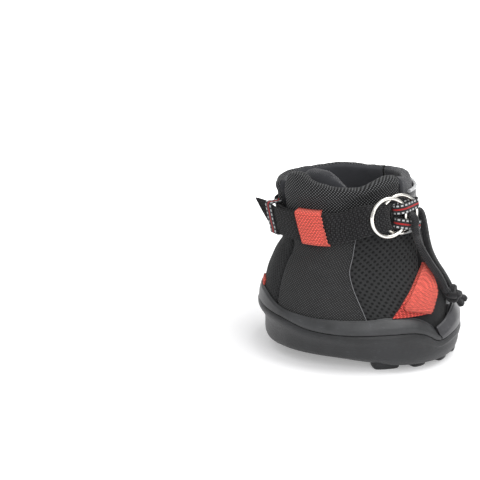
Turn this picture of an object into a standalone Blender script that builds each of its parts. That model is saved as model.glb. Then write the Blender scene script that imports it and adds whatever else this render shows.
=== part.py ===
"""Hoof boot for a horse. Toe towards +X, lateral side towards -Y, sole on the ground at z = 0, in metres.

A turn is an angle round the boot in degrees: 0 at the toe, 90 on the lateral side, 180 at the heel and
-90 on the medial side. A lift is a distance outwards from the outer face of the upper's panels.
"""

import math

import bmesh
import bpy
from mathutils import Vector

# Overall sizes
boot_height = 0.154
toe_reach = 0.0862
heel_reach = 0.0845
sole_half_width = 0.073
sole_middle = 0.005
sole_squareness_front = 2.3
sole_squareness_back = 2.15

# The upper's outer face stands this far inside the sole at its widest, and is shaped by shares of the
# boot's height
toe_wall = 0.0092
heel_wall = 0.0045
side_wall = 0.0070
upper_toe_reach = toe_reach - toe_wall
upper_heel_reach = heel_reach - heel_wall
upper_half_width = sole_half_width - side_wall
upper_squareness = 2.25
front_reach_shares = ((0.08, 0.985), (0.2, 1.0), (0.335, 0.95), (0.46, 0.832), (0.57, 0.737),
                      (0.69, 0.675), (0.756, 0.603), (0.84, 0.556), (0.927, 0.52), (1.0, 0.5))
back_reach_shares = ((0.08, 0.94), (0.16, 0.955), (0.24, 0.989), (0.305, 1.0), (0.37, 0.981),
                     (0.45, 0.944), (0.54, 0.875), (0.593, 0.815), (0.63, 0.8), (0.68, 0.8),
                     (0.76, 0.835), (0.84, 0.86), (0.92, 0.862), (1.0, 0.83))
half_width_shares = ((0.08, 0.925), (0.265, 1.0), (0.39, 0.95), (0.52, 0.85), (0.65, 0.755),
                     (0.73, 0.724), (0.82, 0.712), (0.94, 0.712), (1.0, 0.685))
middle_shares = ((0.08, 0.04), (0.27, 0.04), (0.65, -0.075), (1.0, -0.17))

# Heights round the boot, as shares of the boot's height against the turn
lateral_rim_shares = ((0, 0.98), (20, 0.982), (34, 0.99), (49, 1.004), (60, 1.006), (73, 0.988),
                      (84, 0.967), (95, 0.96), (107, 0.965), (116, 0.978), (125, 0.993), (134, 1.01),
                      (144, 1.014), (154, 1.006), (163, 0.982), (180, 0.935))
medial_rim_shares = ((0, 0.98), (15, 0.976), (37, 0.967), (62, 0.961), (80, 0.965), (95, 0.964),
                     (111, 0.955), (132, 0.948), (150, 0.945), (165, 0.94), (180, 0.935))
inner_flap_rim_shares = ((93, 0.96), (96, 0.985), (101, 0.998), (115, 1.011), (138, 1.016),
                         (150, 1.005), (163, 0.97), (180, 0.935))
waist_shares = ((0, 0.72), (45, 0.735), (60, 0.745), (100, 0.735), (180, 0.74))
rand_top_shares = ((48, 0.222), (63, 0.286), (82, 0.299), (92, 0.288), (110, 0.285), (123, 0.287),
                   (143, 0.302), (164, 0.342), (180, 0.345))
groove_shares = ((0, 0.178), (32, 0.172), (50, 0.157), (61, 0.204), (70, 0.224), (85, 0.223),
                 (100, 0.216), (123, 0.226), (143, 0.259), (172, 0.27), (180, 0.272))
toe_cap_top_shares = ((0, 0.29), (13, 0.285), (27, 0.272), (40, 0.238), (48, 0.22))

# Clearances
seat_gap = 0.0003
seam_gap = 0.0005

# Layers of the upper, as lifts
panel_thickness = 0.003
lining_thickness = 0.0016
collar_thickness = 0.0090
collar_crown = 0.0016
tongue_thickness = 0.0085
collar_flat_margin = 0.0058
shield_thickness = 0.0020
tab_thickness = 0.0014

# Sole
floor_height = 0.0130
tread_base = 0.0072
footbed_thickness = 0.0040
lug_root_depth = 0.0015
lug_chamfer = 0.0014
rand_lip_thickness = 0.0026
toe_cap_lip_thickness = 0.0016
sole_edge_height_shares = ((0, 0.031), (45, 0.035), (72, 0.036), (90, 0.04), (108, 0.042),
                           (125, 0.042), (150, 0.042), (180, 0.042))

# Webbing, tape and cord
webbing_width = 0.0246
webbing_thickness = 0.0016
tape_width = 0.0082
tape_thickness = 0.0009
cord_diameter = 0.0059
piping_diameter = 0.0030

# Rings of the buckle
ring_radius = 0.0151
ring_wire_radius = 0.0015
ring_offset = 0.0058
buckle_turn = 63.3
buckle_height = 0.1256
buckle_roll = 5.0

palette = {
    "sole_rubber": ((0.045, 0.046, 0.05), 0.55, 0.0),
    "toe_rubber": ((0.03, 0.031, 0.034), 0.35, 0.0),
    "foam": ((0.05, 0.05, 0.052), 0.9, 0.0),
    "woven_nylon": ((0.028, 0.028, 0.03), 0.75, 0.0),
    "air_mesh": ((0.02, 0.02, 0.021), 0.85, 0.0),
    "stretch_knit": ((0.015, 0.015, 0.016), 0.9, 0.0),
    "lining_cloth": ((0.02, 0.021, 0.024), 0.95, 0.0),
    "synthetic_leather": ((0.02, 0.02, 0.022), 0.3, 0.0),
    "reflective_piping": ((0.55, 0.56, 0.57), 0.5, 0.0),
    "red_webbing": ((0.75, 0.05, 0.045), 0.7, 0.0),
    "black_webbing": ((0.015, 0.015, 0.016), 0.8, 0.0),
    "striped_tape": ((0.3, 0.05, 0.05), 0.7, 0.0),
    "ring_steel": ((0.75, 0.74, 0.7), 0.2, 1.0),
    "cord": ((0.012, 0.012, 0.013), 0.85, 0.0),
}


def clear_scene():
    for item in list(bpy.data.objects):
        bpy.data.objects.remove(item, do_unlink=True)


def along(table, place):
    """Value of a smooth curve through the table's (place, value) rows."""
    places = [row[0] for row in table]
    values = [row[1] for row in table]
    place = min(max(place, places[0]), places[-1])
    last = len(places) - 2
    index = 0
    while index < last and places[index + 1] < place:
        index += 1
    span = places[index + 1] - places[index]
    share = (place - places[index]) / span
    rise = values[index + 1] - values[index]
    start_slope = rise / span
    end_slope = rise / span
    if index > 0:
        start_slope = (values[index + 1] - values[index - 1]) / (places[index + 1] - places[index - 1])
    if index < last:
        end_slope = (values[index + 2] - values[index]) / (places[index + 2] - places[index])
    square = share * share
    cube = square * share
    value = values[index] * (2 * cube - 3 * square + 1)
    value += start_slope * span * (cube - 2 * square + share)
    value += values[index + 1] * (3 * square - 2 * cube)
    value += end_slope * span * (cube - square)
    return value


def round_turn(turn):
    """Size of a turn from the toe, 0 to 180, alike on both sides."""
    return abs((turn + 180.0) % 360.0 - 180.0)


def rim(turn):
    table = lateral_rim_shares if (turn + 180.0) % 360.0 >= 180.0 else medial_rim_shares
    return boot_height * along(table, round_turn(turn))


def waist(turn):
    return boot_height * along(waist_shares, round_turn(turn))


def groove(turn):
    return boot_height * along(groove_shares, round_turn(turn))


def rounded(value, squareness):
    return math.copysign(abs(value) ** (2.0 / squareness), value)


def upper_base(turn, height):
    share = height / boot_height
    angle = math.radians(turn)
    middle = upper_toe_reach * along(middle_shares, share)
    if math.cos(angle) > 0:
        reach = upper_toe_reach * along(front_reach_shares, share) - middle
    else:
        reach = upper_heel_reach * along(back_reach_shares, share) + middle
    half_width = upper_half_width * along(half_width_shares, share)
    x = middle + reach * rounded(math.cos(angle), upper_squareness)
    y = -half_width * rounded(math.sin(angle), upper_squareness)
    return Vector((x, y, height))


def surface_frame(turn, height):
    """Point on the upper with its unit tangent, upward and outward directions."""
    turn_step = 1.0
    height_step = boot_height * 0.01
    point = upper_base(turn, height)
    tangent = (upper_base(turn + turn_step, height) - upper_base(turn - turn_step, height)).normalized()
    rise = upper_base(turn, height + height_step) - upper_base(turn, height - height_step)
    upward = (rise - tangent * rise.dot(tangent)).normalized()
    outward = tangent.cross(upward)
    middle = Vector((sole_middle, 0, height))
    if outward.dot(point - middle) < 0:
        outward = -outward
    return point, tangent, upward, outward


def upper_point(turn, height, lift):
    point, _, _, outward = surface_frame(turn, height)
    return point + outward * lift


def sole_base(turn):
    angle = math.radians(turn)
    front = math.cos(angle) > 0
    squareness = sole_squareness_front if front else sole_squareness_back
    reach = toe_reach - sole_middle if front else heel_reach + sole_middle
    x = sole_middle + reach * rounded(math.cos(angle), squareness)
    y = -sole_half_width * rounded(math.sin(angle), squareness)
    return Vector((x, y, 0))


def sole_point(turn, inset, height):
    turn_step = 1.0
    tangent = (sole_base(turn + turn_step) - sole_base(turn - turn_step)).normalized()
    outward = Vector((-tangent.y, tangent.x, 0))
    base = sole_base(turn)
    if outward.dot(base) < 0:
        outward = -outward
    return base - outward * inset + Vector((0, 0, height))


def spread(first, last, count):
    """Evenly spaced values, both ends included."""
    return [first + (last - first) * index / (count - 1) for index in range(count)]


def finish(name, mesh_data, colour_name):
    mesh_data.normal_update()
    bmesh.ops.recalc_face_normals(mesh_data, faces=mesh_data.faces)
    mesh = bpy.data.meshes.new(name)
    mesh_data.to_mesh(mesh)
    mesh_data.free()
    part = bpy.data.objects.new(name, mesh)
    bpy.context.scene.collection.objects.link(part)
    mesh.shade_smooth()
    mesh.set_sharp_from_angle(angle=math.radians(40))
    paint(part, colour_name)
    return part


def paint(part, colour_name):
    colour, roughness, metallic = palette[colour_name]
    material = bpy.data.materials.new(part.name)
    material.use_nodes = True
    shader = material.node_tree.nodes["Principled BSDF"]
    shader.inputs["Base Color"].default_value = (*colour, 1)
    shader.inputs["Roughness"].default_value = roughness
    shader.inputs["Metallic"].default_value = metallic
    material.diffuse_color = (*colour, 1)
    part.data.materials.append(material)


def hang(part, name, pivot):
    """Put a moving part under an empty at a point of its joint's axis."""
    empty = bpy.data.objects.new(name, None)
    empty.location = pivot
    bpy.context.scene.collection.objects.link(empty)
    part.parent = empty
    part.location = -pivot


def loft(name, loops, colour_name, closed=False):
    """Solid through loops of points with equal counts, capped at both ends unless it is closed."""
    mesh_data = bmesh.new()
    rings = [[mesh_data.verts.new(point) for point in loop] for loop in loops]
    count = len(rings[0])
    pairs = list(zip(rings, rings[1:]))
    if closed:
        pairs.append((rings[-1], rings[0]))
    for here, there in pairs:
        for index in range(count):
            after = (index + 1) % count
            mesh_data.faces.new((here[index], here[after], there[after], there[index]))
    if not closed:
        mesh_data.faces.new(rings[0])
        mesh_data.faces.new(rings[-1])
    return finish(name, mesh_data, colour_name)


def sheet(name, rear, front, low, high, inner, outer, columns, rows, colour_name):
    """Curved panel: rear and front give the turn of its side edges against the height share."""
    mesh_data = bmesh.new()
    faces = []
    for lift in (inner, outer):
        grid = []
        for up in spread(0.0, 1.0, rows):
            row = []
            for across in spread(0.0, 1.0, columns):
                turn = rear(up) * (1 - across) + front(up) * across
                height = low(turn) * (1 - up) + high(turn) * up
                row.append(mesh_data.verts.new(upper_point(turn, height, lift)))
            grid.append(row)
        faces.append(grid)
    inside, outside = faces
    for grid in faces:
        for low_row, high_row in zip(grid, grid[1:]):
            for index in range(columns - 1):
                mesh_data.faces.new((low_row[index], low_row[index + 1],
                                     high_row[index + 1], high_row[index]))
    for index in range(columns - 1):
        for row in (0, -1):
            mesh_data.faces.new((inside[row][index], inside[row][index + 1],
                                 outside[row][index + 1], outside[row][index]))
    for index in range(rows - 1):
        for column in (0, -1):
            mesh_data.faces.new((inside[index][column], inside[index + 1][column],
                                 outside[index + 1][column], outside[index][column]))
    return finish(name, mesh_data, colour_name)


def smooth_route(stations, steps):
    """Points of a smooth curve through stations, which are tuples of numbers or vectors."""
    route = []
    for index in range(len(stations) - 1):
        before = stations[max(index - 1, 0)]
        start = stations[index]
        end = stations[index + 1]
        after = stations[min(index + 2, len(stations) - 1)]
        for step in range(steps):
            share = step / steps
            square = share * share
            cube = square * share
            weights = (-0.5 * cube + square - 0.5 * share, 1.5 * cube - 2.5 * square + 1,
                       -1.5 * cube + 2 * square + 0.5 * share, 0.5 * cube - 0.5 * square)
            route.append([before[part] * weights[0] + start[part] * weights[1]
                          + end[part] * weights[2] + after[part] * weights[3]
                          for part in range(len(start))])
    route.append(list(stations[-1]))
    return route


def ribbon(name, route, width, thickness, lanes, colour_name, bend=None):
    """Flat strip along a route of (centre, width direction, width share, fold share) stations.

    bend(across) is how far the strip's line at that place across its width runs ahead in a fold.
    """
    loops = []
    for index, (centre, wide, width_share, fold_share) in enumerate(route):
        ahead = route[min(index + 1, len(route) - 1)][0] - route[max(index - 1, 0)][0]
        wide = wide.normalized()
        normal = ahead.cross(wide).normalized()
        faces = []
        for side in (1, -1):
            row = []
            for across in spread(-0.5, 0.5, lanes):
                point = centre + wide * (across * width * width_share)
                point += normal * (side * thickness / 2)
                if bend and fold_share > 0:
                    point += bend(across * width * width_share) * fold_share
                row.append(point)
            faces.append(row)
        loops.append(faces[0] + faces[1][::-1])
    return loft(name, loops, colour_name)


def tube(name, points, diameter, colour_name, sides=1):
    curve = bpy.data.curves.new(name, "CURVE")
    curve.dimensions = "3D"
    curve.bevel_depth = diameter / 2
    curve.bevel_resolution = sides
    curve.use_fill_caps = True
    spline = curve.splines.new("POLY")
    spline.points.add(len(points) - 1)
    for place, point in zip(spline.points, points):
        place.co = (*point, 1)
    part = bpy.data.objects.new(name, curve)
    bpy.context.scene.collection.objects.link(part)
    paint(part, colour_name)
    return part


# Sole

lip_inset = 0.0010
wall_clearance = 0.0006
wall_rows = 3
side_inset = 0.0008
sole_undercut = 0.0180
floor_inset_share = 0.42
middle_inset_share = 0.16
low_side_inset_shares = ((0, 0.2), (60, 0.27), (78, 0.35), (95, 0.75), (112, 1.0), (140, 0.95),
                         (165, 0.62), (180, 0.53))
heel_notch = 0.0032
floor_notch_share = 0.75
heel_notch_shares = ((0, 0), (138, 0), (152, 0.6), (166, 1), (180, 1))
edge_inset = 0.0030
base_inset = 0.0120
sole_segments = 56
lug_length = 0.0150
# Forward, aside, heading in degrees and width of each lug
lug_shares = ((0.203, 0.712, 80, 1.45), (0.493, 0.637, 58, 0.9), (0.719, 0.466, 38, 0.8),
              (0.853, 0.226, 18, 0.74), (-0.035, 0.452, 116, 0.95), (-0.273, 0.329, 116, 0.95),
              (-0.499, 0.205, 125, 0.9))
middle_lug_shares = ((0.887, 0, 0, 0.8), (-0.696, 0, 180, 0.85))
round_lug_share = 0.9
round_lug_shares = ((0.418, 0.205), (0.186, 0.342), (-0.046, 0.13))
middle_round_lug_shares = (0.626, 0.186, -0.278)


def outsole_profile(turn):
    """Rings of the outsole from the middle of the tread out to the lip and back to the floor."""
    edge_height = boot_height * along(sole_edge_height_shares, round_turn(turn))
    low_inset = sole_undercut * along(low_side_inset_shares, round_turn(turn))
    notch = heel_notch * along(heel_notch_shares, round_turn(turn))
    top = groove(turn)
    return [
        sole_point(turn, low_inset + base_inset, tread_base),
        sole_point(turn, low_inset + edge_inset, edge_height),
        sole_point(turn, low_inset, edge_height + lug_chamfer),
        sole_point(turn, low_inset * floor_inset_share + notch * floor_notch_share, floor_height),
        sole_point(turn, side_inset + low_inset * middle_inset_share + notch, (floor_height + top) / 2),
        sole_point(turn, 0, top - lip_inset * 4),
        sole_point(turn, lip_inset, top),
        *[upper_point(turn, height, wall_clearance)
          for height in spread(top - lip_inset, floor_height, wall_rows)],
    ]


def lug_outline(middle, outward, length, width):
    tangent = Vector((-outward.y, outward.x, 0))
    corner_share = 0.62
    outline = ((1, corner_share), (corner_share, 1), (-corner_share, 1), (-1, corner_share),
               (-1, -corner_share), (-corner_share, -1), (corner_share, -1), (1, -corner_share))
    return [middle + outward * (length / 2 * out) + tangent * (width / 2 * along_edge)
            for out, along_edge in outline]


def add_lug(mesh_data, middle, outward, length, width):
    foot = lug_outline(middle, outward, length - lug_chamfer * 2, width - lug_chamfer * 2)
    body = lug_outline(middle, outward, length, width)
    levels = [
        foot,
        [point + Vector((0, 0, lug_chamfer)) for point in body],
        [point + Vector((0, 0, floor_height - lug_root_depth)) for point in body],
    ]
    rings = [[mesh_data.verts.new(point) for point in level] for level in levels]
    count = len(rings[0])
    mesh_data.faces.new(rings[0][::-1])
    mesh_data.faces.new(rings[-1])
    for lower, upper in zip(rings, rings[1:]):
        for index in range(count):
            after = (index + 1) % count
            mesh_data.faces.new((lower[index], lower[after], upper[after], upper[index]))


def make_lugs():
    mesh_data = bmesh.new()
    rows = [row + (side,) for row in lug_shares for side in (1, -1)]
    rows += [row + (0,) for row in middle_lug_shares]
    rows += [(forward, aside, 0, round_lug_share, side)
             for forward, aside in round_lug_shares for side in (1, -1)]
    rows += [(forward, 0, 0, round_lug_share, 0) for forward in middle_round_lug_shares]
    for forward, aside, heading, width_share, side in rows:
        middle = Vector((toe_reach * forward, -sole_half_width * aside * side, 0))
        angle = math.radians(heading)
        outward = Vector((math.cos(angle), -math.sin(angle) * (side or 1), 0))
        add_lug(mesh_data, middle, outward, lug_length, lug_length * width_share)
    lugs = finish("lug_shapes", mesh_data, "sole_rubber")
    lugs.hide_render = True
    lugs.display_type = "WIRE"
    return lugs


def make_outsole():
    turns = [360.0 * index / sole_segments for index in range(sole_segments)]
    profiles = [outsole_profile(turn) for turn in turns]
    mesh_data = bmesh.new()
    rings = [[mesh_data.verts.new(profile[level]) for profile in profiles]
             for level in range(len(profiles[0]))]
    for lower, upper in zip(rings, rings[1:]):
        for index in range(sole_segments):
            after = (index + 1) % sole_segments
            mesh_data.faces.new((lower[index], lower[after], upper[after], upper[index]))
    mesh_data.faces.new(rings[0])
    mesh_data.faces.new(rings[-1])
    outsole = finish("outsole", mesh_data, "sole_rubber")
    union = outsole.modifiers.new("lugs", "BOOLEAN")
    union.operation = "UNION"
    union.object = make_lugs()


rand_end_turn = 48.6
rand_stations = 46
rand_clearance = 0.0006


def rand_loop(turn):
    low = groove(turn) + seam_gap
    high = boot_height * along(rand_top_shares, round_turn(turn))
    shoulder = low + (high - low) * 0.55
    return [
        upper_point(turn, low, rand_clearance),
        sole_point(turn, lip_inset, low),
        sole_point(turn, side_inset, (low + shoulder) / 2),
        upper_point(turn, shoulder, (sole_point(turn, 0, 0) - upper_base(turn, shoulder)).xy.length * 0.72),
        upper_point(turn, high - rand_lip_thickness / 3, rand_lip_thickness),
        upper_point(turn, high, rand_lip_thickness / 2),
        upper_point(turn, high, rand_clearance),
    ]


def make_rand():
    turns = spread(rand_end_turn, 360.0 - rand_end_turn, rand_stations)
    loft("rand", [rand_loop(turn) for turn in turns], "sole_rubber")


toe_cap_turn = 47.4
toe_cap_stations = 24


def toe_cap_loop(turn):
    inner_lift = shield_thickness + seat_gap * 5
    low = groove(turn) + seam_gap
    high = boot_height * along(toe_cap_top_shares, round_turn(turn))
    shoulder = low + (high - low) * 0.5
    reach = (sole_point(turn, 0, 0) - upper_base(turn, shoulder)).xy.length
    return [
        upper_point(turn, low, inner_lift),
        sole_point(turn, lip_inset, low),
        sole_point(turn, side_inset, low + (shoulder - low) * 0.6),
        upper_point(turn, shoulder, reach * 0.85),
        upper_point(turn, high - toe_cap_lip_thickness / 2, inner_lift + toe_cap_lip_thickness),
        upper_point(turn, high, inner_lift + toe_cap_lip_thickness / 2),
        upper_point(turn, high, inner_lift),
    ]


def make_toe_cap():
    turns = spread(-toe_cap_turn, toe_cap_turn, toe_cap_stations)
    loft("toe_cap", [toe_cap_loop(turn) for turn in turns], "toe_rubber")


button_radius = 0.0064
button_thickness = 0.0019
button_sink = 0.0012
button_height = 0.0145
button_sides = 20
button_dome_share = 0.55


def make_toe_button():
    """Plain oval disc on the front of the outsole."""
    face_x = toe_reach + seat_gap - button_sink
    rings = []
    for depth, size in ((0, 1.0), (button_thickness * button_dome_share, 1.0), (button_thickness, 0.7)):
        ring_points = []
        for side in range(button_sides):
            angle = math.tau * side / button_sides
            ring_points.append(Vector((face_x + depth, button_radius * size * math.cos(angle),
                                       button_height + button_radius * size * math.sin(angle))))
        rings.append(ring_points)
    loft("toe_button", rings, "toe_rubber")


def make_footbed():
    lift = -(panel_thickness + lining_gap + lining_thickness + seat_gap * 2)
    low = floor_height + seat_gap
    high = low + footbed_thickness
    turns = [360.0 * index / sole_segments for index in range(sole_segments)]
    outline = [upper_point(turn, floor_height, lift) for turn in turns]
    loops = [[Vector((point.x, point.y, height)) for point in outline] for height in (low, high)]
    loft("footbed", loops, "foam")


# Upper

panel_foot = floor_height + seat_gap * 2
seam_shares = ((0.0, 89.0), (0.31, 91.4), (0.66, 97.4), (0.81, 94.5), (1.0, 90.0))
front_seam_shares = ((0.0, 68.0), (0.3, 66.0), (0.55, 52.0), (0.75, 41.0), (1.0, 36.0))
heel_seam_turn = 150.0
front_split_turn = 10.0
seam_turn = math.degrees(seam_gap / 2 / upper_half_width)


def panel_top(turn):
    return waist(turn) - seam_gap / 2


def panel_low(turn):
    return panel_foot


def make_panels():
    inner = -panel_thickness
    for side, word in ((1, "lateral"), (-1, "medial")):
        sheet("quarter_" + word,
              lambda up: side * (heel_seam_turn - seam_turn),
              lambda up: side * (along(seam_shares, up) + seam_turn),
              panel_low, panel_top, inner, 0, 8, 10, "woven_nylon")
        sheet("side_mesh_" + word,
              lambda up: side * (along(seam_shares, up) - seam_turn),
              lambda up: side * (along(front_seam_shares, up) + seam_turn),
              panel_low, panel_top, inner, 0, 7, 10, "air_mesh")
        sheet("stretch_panel_" + word,
              lambda up: side * (along(front_seam_shares, up) - seam_turn),
              lambda up: side * front_split_turn,
              panel_low, panel_top, inner, 0, 8, 10, "stretch_knit")
    sheet("heel_panel",
          lambda up: 360.0 - heel_seam_turn - seam_turn,
          lambda up: heel_seam_turn + seam_turn,
          panel_low, panel_top, inner, 0, 9, 10, "air_mesh")


lining_segments = 32
lining_rows = 9
lining_drop = 0.0040
lining_gap = 0.0015


def make_lining():
    outer = -(panel_thickness + lining_gap)
    inner = outer - lining_thickness
    loops = []
    for index in range(lining_segments):
        turn = 360.0 * index / lining_segments
        heights = spread(panel_foot, waist(turn) - lining_drop, lining_rows)
        outside = [upper_point(turn, height, outer) for height in heights]
        inside = [upper_point(turn, height, inner) for height in heights]
        loops.append(outside + inside[::-1])
    loft("lining", loops, "lining_cloth", closed=True)


collar_front_turn = 46.0
collar_rear_turn = 154.0
flap_end_turn = 93.0
flap_dive_start_turn = 178.0
flap_dive_end_turn = 159.0
flap_lean_shares = ((93, 0.3), (112, 0.5), (135, 0.5), (152, 0.12), (160, 0.0), (180, 0.0))
collar_overlap_gap = 0.0006
tongue_margin_turn = 2.6
tongue_belly_share = 0.27
tongue_edge_share = 0.75
tongue_edge_turn = 3.1


def pad_loop(turn, low, high, shift, size):
    """Cross-section of the padded collar: flat where the strap lies, crowned above it, round on top."""
    flat_top = strap_middle(turn) + webbing_width / 2 + collar_flat_margin
    flat_top = min(flat_top, high - collar_thickness)
    if round_turn(turn) < tab_side_turn + 2:
        flat_top = max(flat_top, tab_high(turn) + piping_diameter + piping_gap)
    depth = collar_thickness
    crown = collar_crown * min(1.0, (high - flat_top) / depth)
    bend = min(depth * 0.28, (high - flat_top) * 0.4)
    outline = (
        (low, 0.0),
        ((low + flat_top) / 2, 0.0),
        (flat_top, 0.0),
        (flat_top + (high - flat_top) * 0.4, crown),
        (high - bend, crown * 0.6),
        (high - depth * 0.06, -depth * 0.2),
        (high, -depth * 0.48),
        (high - depth * 0.1, -depth * 0.78),
        (high - depth * 0.5, -depth),
        ((low + high) / 2, -depth),
        (low, -depth * 0.9),
    )
    centre = -depth / 2
    return [upper_point(turn, height, centre + (lift - centre) * size + shift) for height, lift in outline]


def make_collars():
    ends = (0.62, 0.86, 1.0)
    rounding = 2.2
    front = collar_front_turn
    rear = collar_rear_turn
    turns = [front, front + rounding / 2, front + rounding]
    turns += spread(front + rounding * 2, rear - rounding * 2, 20)
    turns += [rear - rounding, rear - rounding / 2, rear]
    sizes = list(ends) + [1.0] * 20 + list(ends)[::-1]
    loops = [pad_loop(turn, waist(turn) + seam_gap / 2, rim(turn), 0, size)
             for turn, size in zip(turns, sizes)]
    loft("collar_lateral", loops, "woven_nylon")

    turns = [-front, -front - rounding / 2, -front - rounding]
    turns += spread(-front - rounding * 2, flap_end_turn - 360.0 + rounding * 2, 34)
    turns += [flap_end_turn - 360.0 + rounding, flap_end_turn - 360.0 + rounding / 2,
              flap_end_turn - 360.0]
    sizes = list(ends) + [1.0] * 34 + list(ends)[::-1]
    loops = []
    for turn, size in zip(turns, sizes):
        unwound = turn + 360.0
        high = rim(turn)
        shift = 0.0
        if unwound < 180.0:
            high = boot_height * along(inner_flap_rim_shares, unwound)
            dive = (flap_dive_start_turn - unwound) / (flap_dive_start_turn - flap_dive_end_turn)
            dive = min(max(dive, 0.0), 1.0)
            dive = dive * dive * (3 - 2 * dive)
            shift = -dive * (collar_thickness + collar_crown + collar_overlap_gap)
            shift -= collar_thickness * along(flap_lean_shares, unwound)
        loops.append(pad_loop(turn, waist(turn) + seam_gap / 2, high, shift, size))
    loft("collar_medial", loops, "woven_nylon")


def make_tongue():
    limit = collar_front_turn - tongue_margin_turn
    loops = []
    for turn in spread(-limit, limit, 16):
        low = waist(turn) + seam_gap / 2
        high = rim(turn)
        depth = tongue_thickness
        edge = min(1.0, tongue_edge_share + (1 - tongue_edge_share) * (limit - abs(turn)) / tongue_edge_turn)
        centre = -depth / 2
        outline = (
            (low, 0.0),
            (low + (high - low) * tongue_belly_share, 0.0),
            ((low + high) / 2, 0.0),
            (high - depth * 0.5, -depth * 0.02),
            (high - depth * 0.1, -depth * 0.22),
            (high, -depth * 0.5),
            (high - depth * 0.1, -depth * 0.78),
            (high - depth * 0.5, -depth),
            ((low + high) / 2, -depth),
            (low, -depth * 0.9),
        )
        loops.append([upper_point(turn, height, centre + (lift - centre) * edge)
                      for height, lift in outline])
    loft("tongue", loops, "lining_cloth")


# Front shield, tab and piping

shield_edge_shares = ((0.1, 36.0), (0.2, 35.0), (0.31, 23.0), (0.4, 15.0), (0.5, 15.5), (0.58, 19.0))
shield_foot_share = 0.18
shield_foot_gap = 0.0010
shield_top_share = 0.585
piping_gap = 0.0009
tab_side_turn = 62.0
tab_low_shares = ((0, 0.728), (30, 0.728), (62, 0.722))
tab_high_shares = ((0, 0.899), (30, 0.902), (45, 0.898), (62, 0.892))
tab_clearance = 0.0010
heel_tag_turn = 4.5
heel_tag_height = 0.0062
front_loop_turn = 13.0
front_loop_low_share = 0.63
front_loop_high_share = 0.722


def make_shield():
    high = boot_height * shield_top_share

    def edge(up):
        return along(shield_edge_shares, shield_foot_share + (shield_top_share - shield_foot_share) * up)

    sheet("front_shield", lambda up: edge(up), lambda up: -edge(up),
          lambda turn: groove(turn) + shield_foot_gap, lambda turn: high,
          seat_gap * 2, shield_thickness + seat_gap * 2, 9, 11, "synthetic_leather")
    start_share = 0.3
    end_share = 0.575
    for side, word in ((1, "lateral"), (-1, "medial")):
        points = []
        for share in spread(start_share, end_share, 12):
            turn = side * along(shield_edge_shares, share)
            point, tangent, _, outward = surface_frame(turn, boot_height * share)
            points.append(point + outward * (piping_diameter / 2 + seat_gap)
                          + tangent * side * (piping_diameter / 2 + piping_gap))
        tube("shield_piping_" + word, points, piping_diameter, "reflective_piping")


def tab_low(turn):
    return boot_height * along(tab_low_shares, round_turn(turn))


def tab_high(turn):
    return boot_height * along(tab_high_shares, round_turn(turn))


def make_tab():
    sheet("front_tab", lambda up: tab_side_turn, lambda up: -tab_side_turn, tab_low, tab_high,
          tab_clearance, tab_clearance + tab_thickness, 19, 4, "synthetic_leather")
    lift = tab_clearance + piping_diameter / 2
    for word, height, step in (("upper", tab_high, 1), ("lower", tab_low, -1)):
        points = [upper_point(turn, height(turn) + step * (piping_diameter / 2 + seat_gap), lift)
                  for turn in spread(-tab_side_turn + 4, tab_side_turn - 4, 22)]
        tube("tab_piping_" + word, points, piping_diameter, "reflective_piping")


def make_heel_tag():
    """Small red tag at the back, just above the rand."""
    low = boot_height * rand_top_shares[-1][1] + seam_gap
    sheet("heel_tag", lambda up: 180.0 + heel_tag_turn, lambda up: 180.0 - heel_tag_turn,
          lambda turn: low, lambda turn: low + heel_tag_height,
          seat_gap, seat_gap + webbing_thickness, 4, 3, "red_webbing")


def make_front_loop():
    sheet("front_red_loop", lambda up: front_loop_turn, lambda up: -front_loop_turn,
          lambda turn: boot_height * front_loop_low_share,
          lambda turn: boot_height * front_loop_high_share - piping_diameter,
          seat_gap, seat_gap + webbing_thickness, 7, 4, "red_webbing")


# Red side straps

# Rear and front edge of the red strap, each as turn and height share, from its foot to its fold
red_lower_edges = ((78.5, 0.302, 53.0, 0.30), (74.5, 0.335, 52.0, 0.335), (68.0, 0.387, 50.0, 0.385),
                   (60.5, 0.435, 46.0, 0.432), (53.0, 0.482, 41.5, 0.475), (45.5, 0.519, 37.0, 0.512),
                   (41.5, 0.536, 34.5, 0.53))
red_upper_edges = ((43.0, 0.528, 36.0, 0.523), (50.0, 0.495, 35.5, 0.482), (57.5, 0.448, 35.5, 0.432),
                   (64.0, 0.402, 37.5, 0.388), (69.5, 0.362, 43.5, 0.348), (70.0, 0.338, 48.0, 0.313),
                   (63.0, 0.322, 50.5, 0.298))
red_top_edges = ((33.0, 0.57, 26.0, 0.565), (26.0, 0.598, 20.5, 0.595))
red_lower_lift = 0.0007
red_layer_gap = 0.0005
red_fold_reach_share = 0.008
red_lanes = 5


def patch_row(edges, side, lift, reach_share=0.0):
    """Points across a strap between its two edges."""
    rear_turn, rear_share, front_turn, front_share = edges
    row = []
    for across in spread(0.0, 1.0, red_lanes):
        turn = rear_turn + (front_turn - rear_turn) * across
        share = rear_share + (front_share - rear_share) * across + reach_share
        row.append(upper_point(turn * side, boot_height * share, lift))
    return row


def patch_loop(edges, side, outer_lift, inner_lift, outer_reach=0.0, inner_reach=0.0):
    outer = patch_row(edges, side, outer_lift, outer_reach)
    inner = patch_row(edges, side, inner_lift, inner_reach)
    return outer + inner[::-1]


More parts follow.
